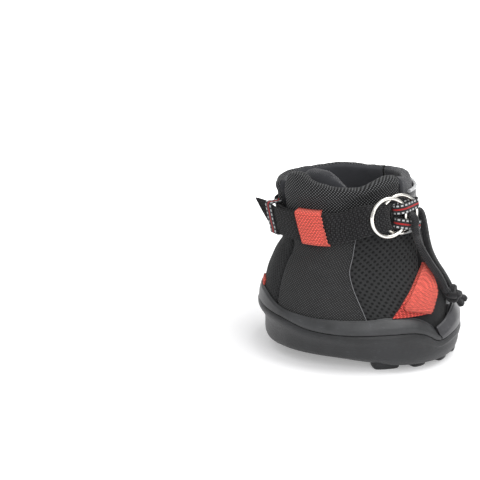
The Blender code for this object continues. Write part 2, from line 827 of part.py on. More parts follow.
def make_red_straps():
    low = red_lower_lift
    layer = low + webbing_thickness
    over = layer + red_layer_gap
    top = over + webbing_thickness
    middle = (layer + over) / 2
    loops = [patch_loop(edges, 1, layer, low) for edges in smooth_route(red_lower_edges, 2)]
    fold = red_lower_edges[-1]
    near = red_fold_reach_share * 0.2
    for rise in (-0.7, 0.0, 0.7):
        reach = math.sqrt(1 - rise * rise)
        loops.append(patch_loop(fold, 1, middle + (over - layer) / 2 * rise, middle + (top - low) / 2 * rise,
                                near * reach, red_fold_reach_share * reach))
    loops += [patch_loop(edges, 1, over, top) for edges in smooth_route(red_upper_edges, 2)]
    loft("red_strap_lateral", loops, "red_webbing")
    route = smooth_route(red_lower_edges + red_top_edges, 2)
    loops = [patch_loop(edges, -1, layer, low) for edges in route]
    loft("red_strap_medial", loops, "red_webbing")


# Pastern strap, its rings and its keepers

ring_stack_gap = 0.0008
strap_middle_shares = ((-180, 0.752), (-140, 0.742), (-100, 0.746), (-72, 0.776), (-56, 0.805),
                       (-42, 0.812), (0, 0.815), (45, 0.82), (59, 0.819), (78, 0.79), (105, 0.75),
                       (140, 0.743), (180, 0.752))
strap_lift = 0.0011
strap_tab_turn = -41.0
strap_landing_turn = 101.0
strap_tail_turn = 174.0
strap_layer = webbing_thickness + seam_gap
fold_gap = 0.0030
fold_width_share = 0.86
fold_curve_share = 0.6
fold_reach = 0.0051
fold_clearance = 0.0013
tail_rise_shares = ((101, 0), (145, 0), (158, 0.5), (170, 1.0), (180, 1.0))
tail_rise = 0.0032
buckle_clearance = 0.0010
# The outer ring turns about the chord of its front arc that lies in the two tapes
ring_hinge_share = 0.93
buckle_base = tab_clearance + tab_thickness + buckle_clearance
inner_ring_level = buckle_base + fold_gap + webbing_thickness / 2
outer_ring_level = inner_ring_level + ring_wire_radius * 2 + ring_stack_gap


def strap_middle(turn):
    return boot_height * along(strap_middle_shares, (turn + 180.0) % 360.0 - 180.0)


def strap_station(turn, lift):
    """Strap lying on the upper, with its width along the upper's slope."""
    point, _, upward, outward = surface_frame(turn, strap_middle(turn))
    return [point + outward * lift, upward, 1.0, 0.0]


def buckle_frame():
    """Origin and directions of the flat plane of the rings: rearwards, upwards and outwards."""
    point, tangent, upward, outward = surface_frame(buckle_turn, buckle_height)
    roll = math.radians(buckle_roll)
    rearward = tangent * math.cos(roll) - upward * math.sin(roll)
    across = upward * math.cos(roll) + tangent * math.sin(roll)
    return point, rearward, across, outward


def buckle_point(back, up, level):
    origin, rearward, across, outward = buckle_frame()
    return origin + rearward * back + across * up + outward * level


def buckle_station(back, level, fold_share, width_share=1.0):
    return [buckle_point(back, 0, level), buckle_frame()[2], width_share, fold_share]


def fold_bend(across):
    """Shift of the strap's lines where it folds inside the inner ring's curved wire."""
    rearward = buckle_frame()[1]
    return rearward * (math.sqrt(ring_radius ** 2 - across ** 2) - ring_radius) * fold_curve_share


def ring(name, back, level):
    origin, rearward, across, outward = buckle_frame()
    centre = buckle_point(back, 0, level)
    segments = 32
    sides = 6
    loops = []
    for index in range(segments):
        angle = math.tau * index / segments
        radial = rearward * math.cos(angle) + across * math.sin(angle)
        loop = []
        for side in range(sides):
            turn = math.tau * side / sides
            loop.append(centre + radial * (ring_radius + ring_wire_radius * math.cos(turn))
                        + outward * (ring_wire_radius * math.sin(turn)))
        loops.append(loop)
    return loft(name, loops, "ring_steel", closed=True)


def make_rings():
    ring("inner_ring", -ring_offset, inner_ring_level)
    outer = ring("outer_ring", ring_offset, outer_ring_level)
    hinge_back = ring_offset - ring_radius * ring_hinge_share
    hang(outer, "ring_hinge", buckle_point(hinge_back, 0, outer_ring_level))


def make_pastern_strap():
    low_lift = strap_lift + webbing_thickness / 2
    tab_lift = tab_clearance + tab_thickness + strap_lift + webbing_thickness / 2
    stations = []
    for turn in (strap_tab_turn, -48, -56, -64):
        stations.append(strap_station(turn, tab_lift))
    for turn in (-78, -90, -102, -115, -128, -142, -154, -165, -175, -185, -196, -208, -221, -234,
                 -248, strap_landing_turn - 360.0):
        stations.append(strap_station(turn, low_lift))
    under = buckle_base + webbing_thickness / 2
    over = inner_ring_level + fold_gap
    rear = ring_radius + ring_offset
    nose = fold_reach + fold_gap - webbing_thickness / 2
    stations.append(buckle_station(rear + ring_offset, under, 0.0, 0.98))
    stations.append(buckle_station(rear - ring_offset, under, 0.4, 0.92))
    stations.append(buckle_station(nose + fold_gap, under, 0.9, fold_width_share))
    route = smooth_route(stations, 2)[:-1]
    for angle in range(0, 181, 30):
        turned = math.radians(angle)
        route.append(buckle_station(nose - fold_gap * math.sin(turned),
                                    inner_ring_level - fold_gap * math.cos(turned), 1.0, fold_width_share))
    beneath = outer_ring_level - ring_wire_radius - fold_clearance - webbing_thickness / 2
    wire = ring_radius - ring_offset
    back = [buckle_station(nose + fold_gap, over, 0.9, fold_width_share),
            buckle_station(wire, over, 0.6, 0.9),
            buckle_station((wire + rear) / 2, (over + beneath) / 2, 0.3, 0.94),
            buckle_station(rear - ring_wire_radius, beneath, 0.1, 0.97),
            buckle_station(rear + ring_wire_radius * 2, beneath, 0.0, 1.0)]
    for turn in (strap_landing_turn - 3, 112, 125, 138, 150, 162, strap_tail_turn):
        back.append(strap_station(turn, low_lift + strap_layer + tail_rise * along(tail_rise_shares, turn)))
    route += smooth_route(back, 2)
    ribbon("pastern_strap", route, webbing_width, webbing_thickness, 4, "black_webbing", bend=fold_bend)


tail_reach = 0.0131
tail_lift = 0.0042
tail_swing = 66.0
tail_start_swing_share = 0.5
tail_tip_share = 0.06


def tail_start():
    return strap_station(strap_tail_turn, strap_lift + webbing_thickness / 2 + strap_layer + tail_rise)


def make_strap_tail():
    """Free end of the strap, cut at a slant and curling away from the heel."""
    centre, upward, _, _ = tail_start()
    _, tangent, _, outward = surface_frame(strap_tail_turn, strap_middle(strap_tail_turn))
    steps = 7
    route = []
    centre = centre + tangent * seam_gap
    pivot = centre
    for step in range(steps):
        share = step / (steps - 1)
        width_share = 1.0 + (tail_tip_share - 1.0) * share
        raised = webbing_width * (1 - width_share) / 2 + tail_lift * share
        route.append([centre + upward * raised, upward, width_share, 0.0])
        swing = math.radians(tail_swing * (tail_start_swing_share + (1 - tail_start_swing_share) * share))
        ahead = tangent * math.cos(swing) + outward * math.sin(swing)
        centre = centre + ahead * (tail_reach / (steps - 1))
    tail = ribbon("strap_tail", route, webbing_width, webbing_thickness, 4, "black_webbing")
    hang(tail, "tail_hinge", pivot)


def band(name, turn, lean, width, thickness, layers, spare, drop, foot_drop, head_rise, colour_name):
    """Loop of webbing over the strap, both ends on the upper above and below it."""
    middle = strap_middle(turn) - drop
    over = strap_lift + layers * strap_layer + seat_gap + thickness / 2
    flat = seam_gap + thickness / 2
    half = webbing_width / 2 + spare
    outline = [
        (middle + half + head_rise, flat),
        (middle + half + thickness * 0.6, flat),
        (middle + half + thickness * 0.3, (flat + over) / 2),
        (middle + half - thickness * 0.3, over),
        (middle + half / 2, over + thickness * 0.1),
        (middle, over + thickness * 0.15),
        (middle - half / 2, over + thickness * 0.1),
        (middle - half + thickness * 0.3, over),
        (middle - half - thickness * 0.3, (flat + over) / 2),
        (middle - half - thickness * 0.6, flat),
        (middle - half - foot_drop, flat),
    ]
    route = []
    for height, lift in outline:
        slant = (height - middle) / boot_height * lean
        point, tangent, _, outward = surface_frame(turn + slant, height)
        route.append([point + outward * lift, tangent, 1.0, 0.0])
    ribbon(name, route, width, thickness, 4, colour_name)


red_loop_turn = 122.5
red_loop_drop = 0.0010
heel_keeper_turn = 167.0
medial_keeper_turn = -74.0
loop_spare = 0.0023
keeper_spare = 0.0019
loop_tuck = 0.0018
keeper_stitch = 0.0020


def make_loops():
    loop_width = webbing_width * 0.94
    band("red_loop_lateral", red_loop_turn, 4, loop_width, webbing_thickness, 2.1, loop_spare, red_loop_drop,
         loop_tuck, loop_tuck / 2, "red_webbing")
    band("red_loop_medial", -red_loop_turn, -4, loop_width, webbing_thickness, 1.1, loop_spare,
         red_loop_drop, loop_tuck, loop_tuck / 2, "red_webbing")
    band("heel_keeper", heel_keeper_turn, 0, tape_width, tape_thickness, 3.8, keeper_spare, 0,
         keeper_stitch, keeper_stitch, "striped_tape")
    band("medial_keeper", medial_keeper_turn, -40, tape_width, tape_thickness, 2.1, loop_spare, 0,
         keeper_stitch, keeper_stitch, "striped_tape")


tape_mouth = -0.0005
tape_shares = (("ring_tape_upper", 0.311, 3.7, 0.858), ("ring_tape_lower", -0.377, -16.0, 0.757))
tape_sewn_turns = (43.0, 38.0, 33.0)


def make_ring_tapes():
    """Striped tapes looped round the front arcs of both rings and sewn to the tab."""
    bottom = buckle_base + tape_thickness / 2
    over_outer = outer_ring_level + ring_wire_radius + seam_gap + tape_thickness / 2
    over_inner = inner_ring_level + ring_wire_radius + seam_gap + tape_thickness / 2
    outer_front = ring_offset - ring_radius
    inner_front = -ring_offset - ring_radius
    clear = ring_wire_radius + seam_gap + tape_thickness / 2
    wire = ring_wire_radius
    sewn_lift = tab_clearance + tab_thickness + seat_gap + tape_thickness
    _, rearward, across, _ = buckle_frame()
    for name, up_share, rise, sewn_share in tape_shares:
        up = ring_radius * up_share
        slope = math.tan(math.radians(rise))
        wide = across * math.cos(math.radians(rise)) + rearward * math.sin(math.radians(rise))

        def station(back, level):
            return [buckle_point(back, up - (back - tape_mouth) * slope, level), wide, 1.0, 0.0]

        stations = [
            station(inner_front + wire, bottom - wire),
            station(outer_front, bottom),
            station(tape_mouth - wire * 2, bottom),
            station(tape_mouth - wire * 0.4, bottom + wire),
            station(tape_mouth, (bottom + over_outer) / 2),
            station(tape_mouth - wire, over_outer - wire * 1.4),
            station(outer_front + wire * 2.8, over_outer - wire * 0.1),
            station(outer_front, over_outer),
            station(outer_front - wire * 2.6, over_outer - wire * 0.9),
            station(inner_front + wire, over_inner),
            station(inner_front - wire * 0.5, over_inner - wire * 0.4),
            station(inner_front - clear, inner_ring_level),
            station(inner_front - clear - wire * 0.3, inner_ring_level - wire * 2),
        ]
        for turn in tape_sewn_turns:
            point, tangent, upward, outward = surface_frame(turn, boot_height * sewn_share)
            tilt = math.radians(rise)
            stations.append([point + outward * sewn_lift,
                             upward * math.cos(tilt) + tangent * math.sin(tilt), 1.0, 0.0])
        ribbon(name, smooth_route(stations, 2), tape_width, tape_thickness, 3, "striped_tape")


# Pull cord

# Turn, height as a share of the boot's height and lift in cord diameters
cord_front_shares = ((51.8, 0.686, 2.3), (48.8, 0.65, 1.8), (45.0, 0.599, 1.56), (42.0, 0.555, 1.48),
                     (39.2, 0.513, 1.42), (34.6, 0.451, 1.35))
cord_back_shares = ((35.0, 0.772, 1.78), (37.6, 0.715, 1.75), (38.9, 0.66, 1.65), (36.9, 0.59, 1.55),
                    (33.5, 0.523, 1.44), (29.3, 0.458, 1.42))
# Rearwards, upwards and outwards in the plane of the rings, in ring radii
cord_loop_shares = ((-0.9, -0.98, 1.13), (-0.82, -0.62, 1.17), (-0.85, -0.31, 1.22), (-0.94, -0.12, 0.8),
                    (-1.08, -0.15, 0.32), (-1.42, -0.14, 0.14), (-1.76, -0.13, 0.18))
knot_shares = (0.843, -0.482, 0.369)
knot_radius = 0.0072
knot_gap = 0.0019
knot_entry_shares = ((-0.76, -0.42, 0.5), (-0.42, 0.22, 0.88))
cord_end_shares = ((0.995, -0.4, 0.322), (0.955, -0.43, 0.29))


def place(forward, aside, height):
    """Point from shares of the toe's reach, the sole's half width and the boot's height."""
    return Vector((toe_reach * forward, sole_half_width * aside, boot_height * height))


def make_cord():
    knot = place(*knot_shares)
    entries = [knot + Vector(shares).normalized() * (knot_radius + knot_gap) for shares in knot_entry_shares]
    points = [entries[0]]
    points += [upper_point(turn, boot_height * share, cord_diameter * lift)
               for turn, share, lift in reversed(cord_front_shares)]
    points += [buckle_point(ring_radius * back, ring_radius * up, ring_radius * level)
               for back, up, level in cord_loop_shares]
    points += [upper_point(turn, boot_height * share, cord_diameter * lift)
               for turn, share, lift in cord_back_shares]
    points.append(entries[1])
    tube("pull_cord", [Vector(point) for point in smooth_route(points, 2)], cord_diameter, "cord", sides=1)
    mesh_data = bmesh.new()
    bmesh.ops.create_icosphere(mesh_data, subdivisions=2, radius=knot_radius)
    for vertex in mesh_data.verts:
        vertex.co = knot + vertex.co
    body = finish("cord_knot", mesh_data, "cord")
    for number, shares in enumerate(cord_end_shares):
        union = body.modifiers.new("end", "BOOLEAN")
        union.operation = "UNION"
        union.object = make_cord_end("cord_end_%d" % number, knot, place(*shares))


def make_cord_end(name, start, end):
    """Helper in the shape of a short round rod with a rounded tip."""
    mesh_data = bmesh.new()
    sides = 8
    ahead = (end - start).normalized()
    aside = ahead.cross(Vector((0, 0, 1))).normalized()
    upward = aside.cross(ahead)
    tip = cord_diameter / 2
    levels = ((start, 1.0), (end - ahead * tip, 1.0), (end - ahead * tip * 0.4, 0.85), (end, 0.4))
    rings = []
    for centre, size in levels:
        ring_verts = []
        for side in range(sides):
            angle = math.tau * side / sides
            spoke = aside * math.cos(angle) + upward * math.sin(angle)
            ring_verts.append(mesh_data.verts.new(centre + spoke * (cord_diameter / 2 * size)))
        rings.append(ring_verts)
    mesh_data.faces.new(rings[0])
    mesh_data.faces.new(rings[-1])
    for lower, upper in zip(rings, rings[1:]):
        for side in range(sides):
            after = (side + 1) % sides
            mesh_data.faces.new((lower[side], lower[after], upper[after], upper[side]))
    rod = finish(name, mesh_data, "cord")
    rod.hide_render = True
    rod.display_type = "WIRE"
    return rod


def make_boot():
    clear_scene()
    make_outsole()
    make_rand()
    make_toe_cap()
    make_toe_button()
    make_footbed()
    make_panels()
    make_lining()
    make_collars()
    make_tongue()
    make_shield()
    make_tab()
    make_front_loop()
    make_heel_tag()
    make_red_straps()
    make_rings()
    make_pastern_strap()
    make_strap_tail()
    make_loops()
    make_ring_tapes()
    make_cord()


make_boot()
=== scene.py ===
"""The boot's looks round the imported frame. Metres, toe towards +X, lateral side towards -Y.

A turn is an angle round the boot in degrees: 0 at the toe, 90 on the lateral side, 180 at the heel and
-90 on the medial side. A lift is a distance outwards from the outer face of the upper's panels.
"""

import math

import bmesh
import bpy
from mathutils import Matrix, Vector, noise


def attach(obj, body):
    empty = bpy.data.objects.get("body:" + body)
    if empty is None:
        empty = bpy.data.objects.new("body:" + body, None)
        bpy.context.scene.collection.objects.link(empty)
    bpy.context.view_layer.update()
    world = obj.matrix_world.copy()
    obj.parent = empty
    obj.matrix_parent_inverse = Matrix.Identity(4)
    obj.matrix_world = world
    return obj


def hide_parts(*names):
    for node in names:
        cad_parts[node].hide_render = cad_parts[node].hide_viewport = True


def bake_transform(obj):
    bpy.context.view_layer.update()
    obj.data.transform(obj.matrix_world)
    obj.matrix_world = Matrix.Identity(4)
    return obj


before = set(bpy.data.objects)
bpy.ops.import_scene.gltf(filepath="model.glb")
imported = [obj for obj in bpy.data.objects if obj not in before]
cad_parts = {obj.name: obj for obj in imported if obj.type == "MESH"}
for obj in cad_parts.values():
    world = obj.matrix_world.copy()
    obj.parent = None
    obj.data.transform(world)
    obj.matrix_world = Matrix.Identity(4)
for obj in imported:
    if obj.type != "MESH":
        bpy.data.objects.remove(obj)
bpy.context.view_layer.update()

# Sizes of the boot, as in the frame's solids
boot_height = 0.154
toe_reach = 0.0862
heel_reach = 0.0845
sole_half_width = 0.073
sole_middle = 0.005
sole_squareness_front = 2.3
sole_squareness_back = 2.15
toe_wall = 0.0092
heel_wall = 0.0045
side_wall = 0.0070
upper_toe_reach = toe_reach - toe_wall
upper_heel_reach = heel_reach - heel_wall
upper_half_width = sole_half_width - side_wall
upper_squareness = 2.25
front_reach_shares = ((0.08, 0.985), (0.2, 1.0), (0.335, 0.95), (0.46, 0.832), (0.57, 0.737),
                      (0.69, 0.675), (0.756, 0.603), (0.84, 0.556), (0.927, 0.52), (1.0, 0.5))
back_reach_shares = ((0.08, 0.94), (0.16, 0.955), (0.24, 0.989), (0.305, 1.0), (0.37, 0.981),
                     (0.45, 0.944), (0.54, 0.875), (0.593, 0.815), (0.63, 0.8), (0.68, 0.8),
                     (0.76, 0.835), (0.84, 0.86), (0.92, 0.862), (1.0, 0.83))
half_width_shares = ((0.08, 0.925), (0.265, 1.0), (0.39, 0.95), (0.52, 0.85), (0.65, 0.755),
                     (0.73, 0.724), (0.82, 0.712), (0.94, 0.712), (1.0, 0.685))
middle_shares = ((0.08, 0.04), (0.27, 0.04), (0.65, -0.075), (1.0, -0.17))
lateral_rim_shares = ((0, 0.98), (20, 0.982), (34, 0.99), (49, 1.004), (60, 1.006), (73, 0.988),
                      (84, 0.967), (95, 0.96), (107, 0.965), (116, 0.978), (125, 0.993), (134, 1.01),
                      (144, 1.014), (154, 1.006), (163, 0.982), (180, 0.935))
medial_rim_shares = ((0, 0.98), (15, 0.976), (37, 0.967), (62, 0.961), (80, 0.965), (95, 0.964),
                     (111, 0.955), (132, 0.948), (150, 0.945), (165, 0.94), (180, 0.935))
inner_flap_rim_shares = ((93, 0.96), (96, 0.985), (101, 0.998), (115, 1.011), (138, 1.016),
                         (150, 1.005), (163, 0.97), (180, 0.935))
waist_shares = ((0, 0.72), (45, 0.735), (60, 0.745), (100, 0.735), (180, 0.74))
rand_top_shares = ((48, 0.222), (63, 0.286), (82, 0.299), (92, 0.288), (110, 0.285), (123, 0.287),
                   (143, 0.302), (164, 0.342), (180, 0.345))
groove_shares = ((0, 0.178), (32, 0.172), (50, 0.157), (61, 0.204), (70, 0.224), (85, 0.223),
                 (100, 0.216), (123, 0.226), (143, 0.259), (172, 0.27), (180, 0.272))
toe_cap_top_shares = ((0, 0.29), (13, 0.285), (27, 0.272), (40, 0.238), (48, 0.22))
seat_gap = 0.0003
seam_gap = 0.0005
panel_thickness = 0.003
lining_thickness = 0.0016
collar_thickness = 0.0090
collar_crown = 0.0016
tongue_thickness = 0.0085
collar_flat_margin = 0.0058
shield_thickness = 0.0020
tab_thickness = 0.0014
floor_height = 0.0130
tread_base = 0.0072
footbed_thickness = 0.0040
lug_root_depth = 0.0015
lug_chamfer = 0.0014
rand_lip_thickness = 0.0026
toe_cap_lip_thickness = 0.0016
sole_edge_height_shares = ((0, 0.031), (45, 0.035), (72, 0.036), (90, 0.04), (108, 0.042),
                           (125, 0.042), (150, 0.042), (180, 0.042))
webbing_width = 0.0246
webbing_thickness = 0.0016
tape_width = 0.0082
tape_thickness = 0.0009
cord_diameter = 0.0059
piping_diameter = 0.0030
ring_radius = 0.0151
ring_wire_radius = 0.0015
ring_offset = 0.0058
buckle_turn = 63.3
buckle_height = 0.1256
buckle_roll = 5.0
lip_inset = 0.0010
wall_clearance = 0.0006
wall_rows = 3
side_inset = 0.0008
sole_undercut = 0.0180
floor_inset_share = 0.42
middle_inset_share = 0.16
low_side_inset_shares = ((0, 0.2), (60, 0.27), (78, 0.35), (95, 0.75), (112, 1.0), (140, 0.95),
                         (165, 0.62), (180, 0.53))
heel_notch = 0.0032
floor_notch_share = 0.75
heel_notch_shares = ((0, 0), (138, 0), (152, 0.6), (166, 1), (180, 1))
edge_inset = 0.0030
base_inset = 0.0120
lug_length = 0.0150
lug_shares = ((0.203, 0.712, 80, 1.45), (0.493, 0.637, 58, 0.9), (0.719, 0.466, 38, 0.8),
              (0.853, 0.226, 18, 0.74), (-0.035, 0.452, 116, 0.95), (-0.273, 0.329, 116, 0.95),
              (-0.499, 0.205, 125, 0.9))
middle_lug_shares = ((0.887, 0, 0, 0.8), (-0.696, 0, 180, 0.85))
round_lug_share = 0.9
round_lug_shares = ((0.418, 0.205), (0.186, 0.342), (-0.046, 0.13))
middle_round_lug_shares = (0.626, 0.186, -0.278)
rand_end_turn = 48.6
rand_clearance = 0.0006
toe_cap_turn = 47.4
button_radius = 0.0064
button_thickness = 0.0019
button_height = 0.0145
panel_foot = floor_height + seat_gap * 2
seam_shares = ((0.0, 89.0), (0.31, 91.4), (0.66, 97.4), (0.81, 94.5), (1.0, 90.0))
front_seam_shares = ((0.0, 68.0), (0.3, 66.0), (0.55, 52.0), (0.75, 41.0), (1.0, 36.0))
heel_seam_turn = 150.0
front_split_turn = 10.0
seam_turn = math.degrees(seam_gap / 2 / upper_half_width)
lining_drop = 0.0040
lining_gap = 0.0015
collar_front_turn = 46.0
collar_rear_turn = 154.0
flap_end_turn = 93.0
flap_dive_start_turn = 178.0
flap_dive_end_turn = 159.0
flap_lean_shares = ((93, 0.3), (112, 0.5), (135, 0.5), (152, 0.12), (160, 0.0), (180, 0.0))
collar_overlap_gap = 0.0006
tongue_margin_turn = 2.6
tongue_edge_share = 0.75
tongue_edge_turn = 3.1
shield_edge_shares = ((0.1, 36.0), (0.2, 35.0), (0.31, 23.0), (0.4, 15.0), (0.5, 15.5), (0.58, 19.0))
shield_foot_share = 0.18
shield_foot_gap = 0.0010
shield_top_share = 0.585
piping_gap = 0.0009
tab_side_turn = 62.0
tab_low_shares = ((0, 0.728), (30, 0.728), (62, 0.722))
tab_high_shares = ((0, 0.899), (30, 0.902), (45, 0.898), (62, 0.892))
tab_clearance = 0.0010
heel_tag_turn = 4.5
heel_tag_height = 0.0062
front_loop_turn = 13.0
front_loop_low_share = 0.63
front_loop_high_share = 0.722
red_lower_edges = ((78.5, 0.302, 53.0, 0.30), (74.5, 0.335, 52.0, 0.335), (68.0, 0.387, 50.0, 0.385),
                   (60.5, 0.435, 46.0, 0.432), (53.0, 0.482, 41.5, 0.475), (45.5, 0.519, 37.0, 0.512),
                   (41.5, 0.536, 34.5, 0.53))
red_upper_edges = ((43.0, 0.528, 36.0, 0.523), (50.0, 0.495, 35.5, 0.482), (57.5, 0.448, 35.5, 0.432),
                   (64.0, 0.402, 37.5, 0.388), (69.5, 0.362, 43.5, 0.348), (70.0, 0.338, 48.0, 0.313),
                   (63.0, 0.322, 50.5, 0.298))
red_top_edges = ((33.0, 0.57, 26.0, 0.565), (26.0, 0.598, 20.5, 0.595))
red_lower_lift = 0.0007
red_layer_gap = 0.0005
red_fold_reach_share = 0.008
ring_stack_gap = 0.0008
strap_middle_shares = ((-180, 0.752), (-140, 0.742), (-100, 0.746), (-72, 0.776), (-56, 0.805),
                       (-42, 0.812), (0, 0.815), (45, 0.82), (59, 0.819), (78, 0.79), (105, 0.75),
                       (140, 0.743), (180, 0.752))
strap_lift = 0.0011
strap_tab_turn = -41.0
strap_landing_turn = 101.0
strap_tail_turn = 174.0
strap_layer = webbing_thickness + seam_gap
fold_gap = 0.0030
fold_width_share = 0.86
fold_curve_share = 0.6
fold_reach = 0.0051
fold_clearance = 0.0013
tail_rise_shares = ((101, 0), (145, 0), (158, 0.5), (170, 1.0), (180, 1.0))
tail_rise = 0.0032
buckle_clearance = 0.0010
ring_hinge_share = 0.93
buckle_base = tab_clearance + tab_thickness + buckle_clearance
inner_ring_level = buckle_base + fold_gap + webbing_thickness / 2
outer_ring_level = inner_ring_level + ring_wire_radius * 2 + ring_stack_gap
tail_reach = 0.0131
tail_lift = 0.0042
tail_swing = 66.0
tail_start_swing_share = 0.5
tail_tip_share = 0.06
red_loop_turn = 122.5
heel_keeper_turn = 167.0
medial_keeper_turn = -74.0
loop_tuck = 0.0018
keeper_stitch = 0.0020
tape_mouth = -0.0005
tape_shares = (("ring_tape_upper", 0.311, 3.7, 0.858), ("ring_tape_lower", -0.377, -16.0, 0.757))
tape_sewn_turns = (43.0, 38.0, 33.0)
cord_front_shares = ((51.8, 0.686, 2.3), (48.8, 0.65, 1.8), (45.0, 0.599, 1.56), (42.0, 0.555, 1.48),
                     (39.2, 0.513, 1.42), (34.6, 0.451, 1.35))
cord_back_shares = ((35.0, 0.772, 1.78), (37.6, 0.715, 1.75), (38.9, 0.66, 1.65), (36.9, 0.59, 1.55),
                    (33.5, 0.523, 1.44), (29.3, 0.458, 1.42))
cord_loop_shares = ((-0.9, -0.98, 1.13), (-0.82, -0.62, 1.17), (-0.85, -0.31, 1.22), (-0.94, -0.12, 0.8),
                    (-1.08, -0.15, 0.32), (-1.42, -0.14, 0.14), (-1.76, -0.13, 0.18))
knot_shares = (0.843, -0.482, 0.369)
knot_radius = 0.0072
knot_gap = 0.0019
knot_entry_shares = ((-0.76, -0.42, 0.5), (-0.42, 0.22, 0.88))
cord_end_shares = ((0.995, -0.4, 0.322), (0.955, -0.43, 0.29))


def along(table, place):
    """Value of a smooth curve through the table's (place, value) rows."""
    places, values = zip(*table)
    place = min(max(place, places[0]), places[-1])
    last = len(places) - 2
    index = 0
    while index < last and places[index + 1] < place:
        index += 1
    span = places[index + 1] - places[index]
    share = (place - places[index]) / span
    start_slope = end_slope = (values[index + 1] - values[index]) / span
    if index > 0:
        start_slope = (values[index + 1] - values[index - 1]) / (places[index + 1] - places[index - 1])
    if index < last:
        end_slope = (values[index + 2] - values[index]) / (places[index + 2] - places[index])
    square = share * share
    cube = square * share
    return (values[index] * (2 * cube - 3 * square + 1) + start_slope * span * (cube - 2 * square + share)
            + values[index + 1] * (3 * square - 2 * cube) + end_slope * span * (cube - square))


def round_turn(turn):
    """Size of a turn from the toe, 0 to 180, alike on both sides."""
    return abs((turn + 180.0) % 360.0 - 180.0)


def rim(turn):
    table = lateral_rim_shares if (turn + 180.0) % 360.0 >= 180.0 else medial_rim_shares
    return boot_height * along(table, round_turn(turn))


def waist(turn):
    return boot_height * along(waist_shares, round_turn(turn))


def groove(turn):
    return boot_height * along(groove_shares, round_turn(turn))


def rounded(value, squareness):
    return math.copysign(abs(value) ** (2.0 / squareness), value)


def upper_base(turn, height):
    share = height / boot_height
    angle = math.radians(turn)
    middle = upper_toe_reach * along(middle_shares, share)
    if math.cos(angle) > 0:
        reach = upper_toe_reach * along(front_reach_shares, share) - middle
    else:
        reach = upper_heel_reach * along(back_reach_shares, share) + middle
    half_width = upper_half_width * along(half_width_shares, share)
    x = middle + reach * rounded(math.cos(angle), upper_squareness)
    y = -half_width * rounded(math.sin(angle), upper_squareness)
    return Vector((x, y, height))


def surface_frame(turn, height):
    """Point on the upper with its unit tangent, upward and outward directions."""
    turn_step = 1.0
    height_step = boot_height * 0.01
    point = upper_base(turn, height)
    tangent = (upper_base(turn + turn_step, height) - upper_base(turn - turn_step, height)).normalized()
    rise = upper_base(turn, height + height_step) - upper_base(turn, height - height_step)
    upward = (rise - tangent * rise.dot(tangent)).normalized()
    outward = tangent.cross(upward)
    middle = Vector((sole_middle, 0, height))
    if outward.dot(point - middle) < 0:
        outward = -outward
    return point, tangent, upward, outward


def upper_point(turn, height, lift):
    point, _, _, outward = surface_frame(turn, height)
    return point + outward * lift


def sole_base(turn):
    angle = math.radians(turn)
    front = math.cos(angle) > 0
    squareness = sole_squareness_front if front else sole_squareness_back
    reach = toe_reach - sole_middle if front else heel_reach + sole_middle
    x = sole_middle + reach * rounded(math.cos(angle), squareness)
    y = -sole_half_width * rounded(math.sin(angle), squareness)
    return Vector((x, y, 0))


def sole_point(turn, inset, height):
    turn_step = 1.0
    tangent = (sole_base(turn + turn_step) - sole_base(turn - turn_step)).normalized()
    outward = Vector((-tangent.y, tangent.x, 0))
    base = sole_base(turn)
    if outward.dot(base) < 0:
        outward = -outward
    return base - outward * inset + Vector((0, 0, height))


def spread(first, last, count):
    """Evenly spaced values, both ends included."""
    return [first + (last - first) * index / (count - 1) for index in range(count)]


def curve_weights(share):
    """Weights of four stations in a row, at a share of the way from the second to the third."""
    square = share * share
    cube = square * share
    return (-0.5 * cube + square - 0.5 * share, 1.5 * cube - 2.5 * square + 1,
            -1.5 * cube + 2 * square + 0.5 * share, 0.5 * cube - 0.5 * square)


def smooth_route(stations, steps):
    """Points of a smooth curve through stations, which are tuples of numbers or vectors."""
    route = []
    last = len(stations) - 1
    for index in range(last):
        near = [stations[min(max(index + shift, 0), last)] for shift in (-1, 0, 1, 2)]
        for step in range(steps):
            weights = curve_weights(step / steps)
            route.append([before * weights[0] + start * weights[1] + end * weights[2] + after * weights[3]
                          for before, start, end, after in zip(*near)])
    route.append(list(stations[-1]))
    return route


def smooth_points(points, steps):
    return [Vector(point) for point in smooth_route(points, steps)]


def smooth_loop(loop, steps):
    """Points of a closed smooth curve through a loop of points."""
    count = len(loop)
    result = []
    for index in range(count):
        before, start, end, after = (loop[(index + shift) % count] for shift in (-1, 0, 1, 2))
        for step in range(steps):
            weights = curve_weights(step / steps)
            result.append(before * weights[0] + start * weights[1] + end * weights[2] + after * weights[3])
    return result


def clamped(share):
    return min(1.0, max(0.0, share))


def round_turns(count):
    return [360.0 * index / count for index in range(count)]


def outsole_profile(turn):
    """Rings of the outsole from the middle of the tread out to the lip and back to the floor."""
    edge_height = boot_height * along(sole_edge_height_shares, round_turn(turn))
    low_inset = sole_undercut * along(low_side_inset_shares, round_turn(turn))
    notch = heel_notch * along(heel_notch_shares, round_turn(turn))
    top = groove(turn)
    return [
        sole_point(turn, low_inset + base_inset, tread_base),
        sole_point(turn, low_inset + edge_inset, edge_height),
        sole_point(turn, low_inset, edge_height + lug_chamfer),
        sole_point(turn, low_inset * floor_inset_share + notch * floor_notch_share, floor_height),
        sole_point(turn, side_inset + low_inset * middle_inset_share + notch, (floor_height + top) / 2),
        sole_point(turn, 0, top - lip_inset * 4),
        sole_point(turn, lip_inset, top),
        *[upper_point(turn, height, wall_clearance)
          for height in spread(top - lip_inset, floor_height, wall_rows)],
    ]


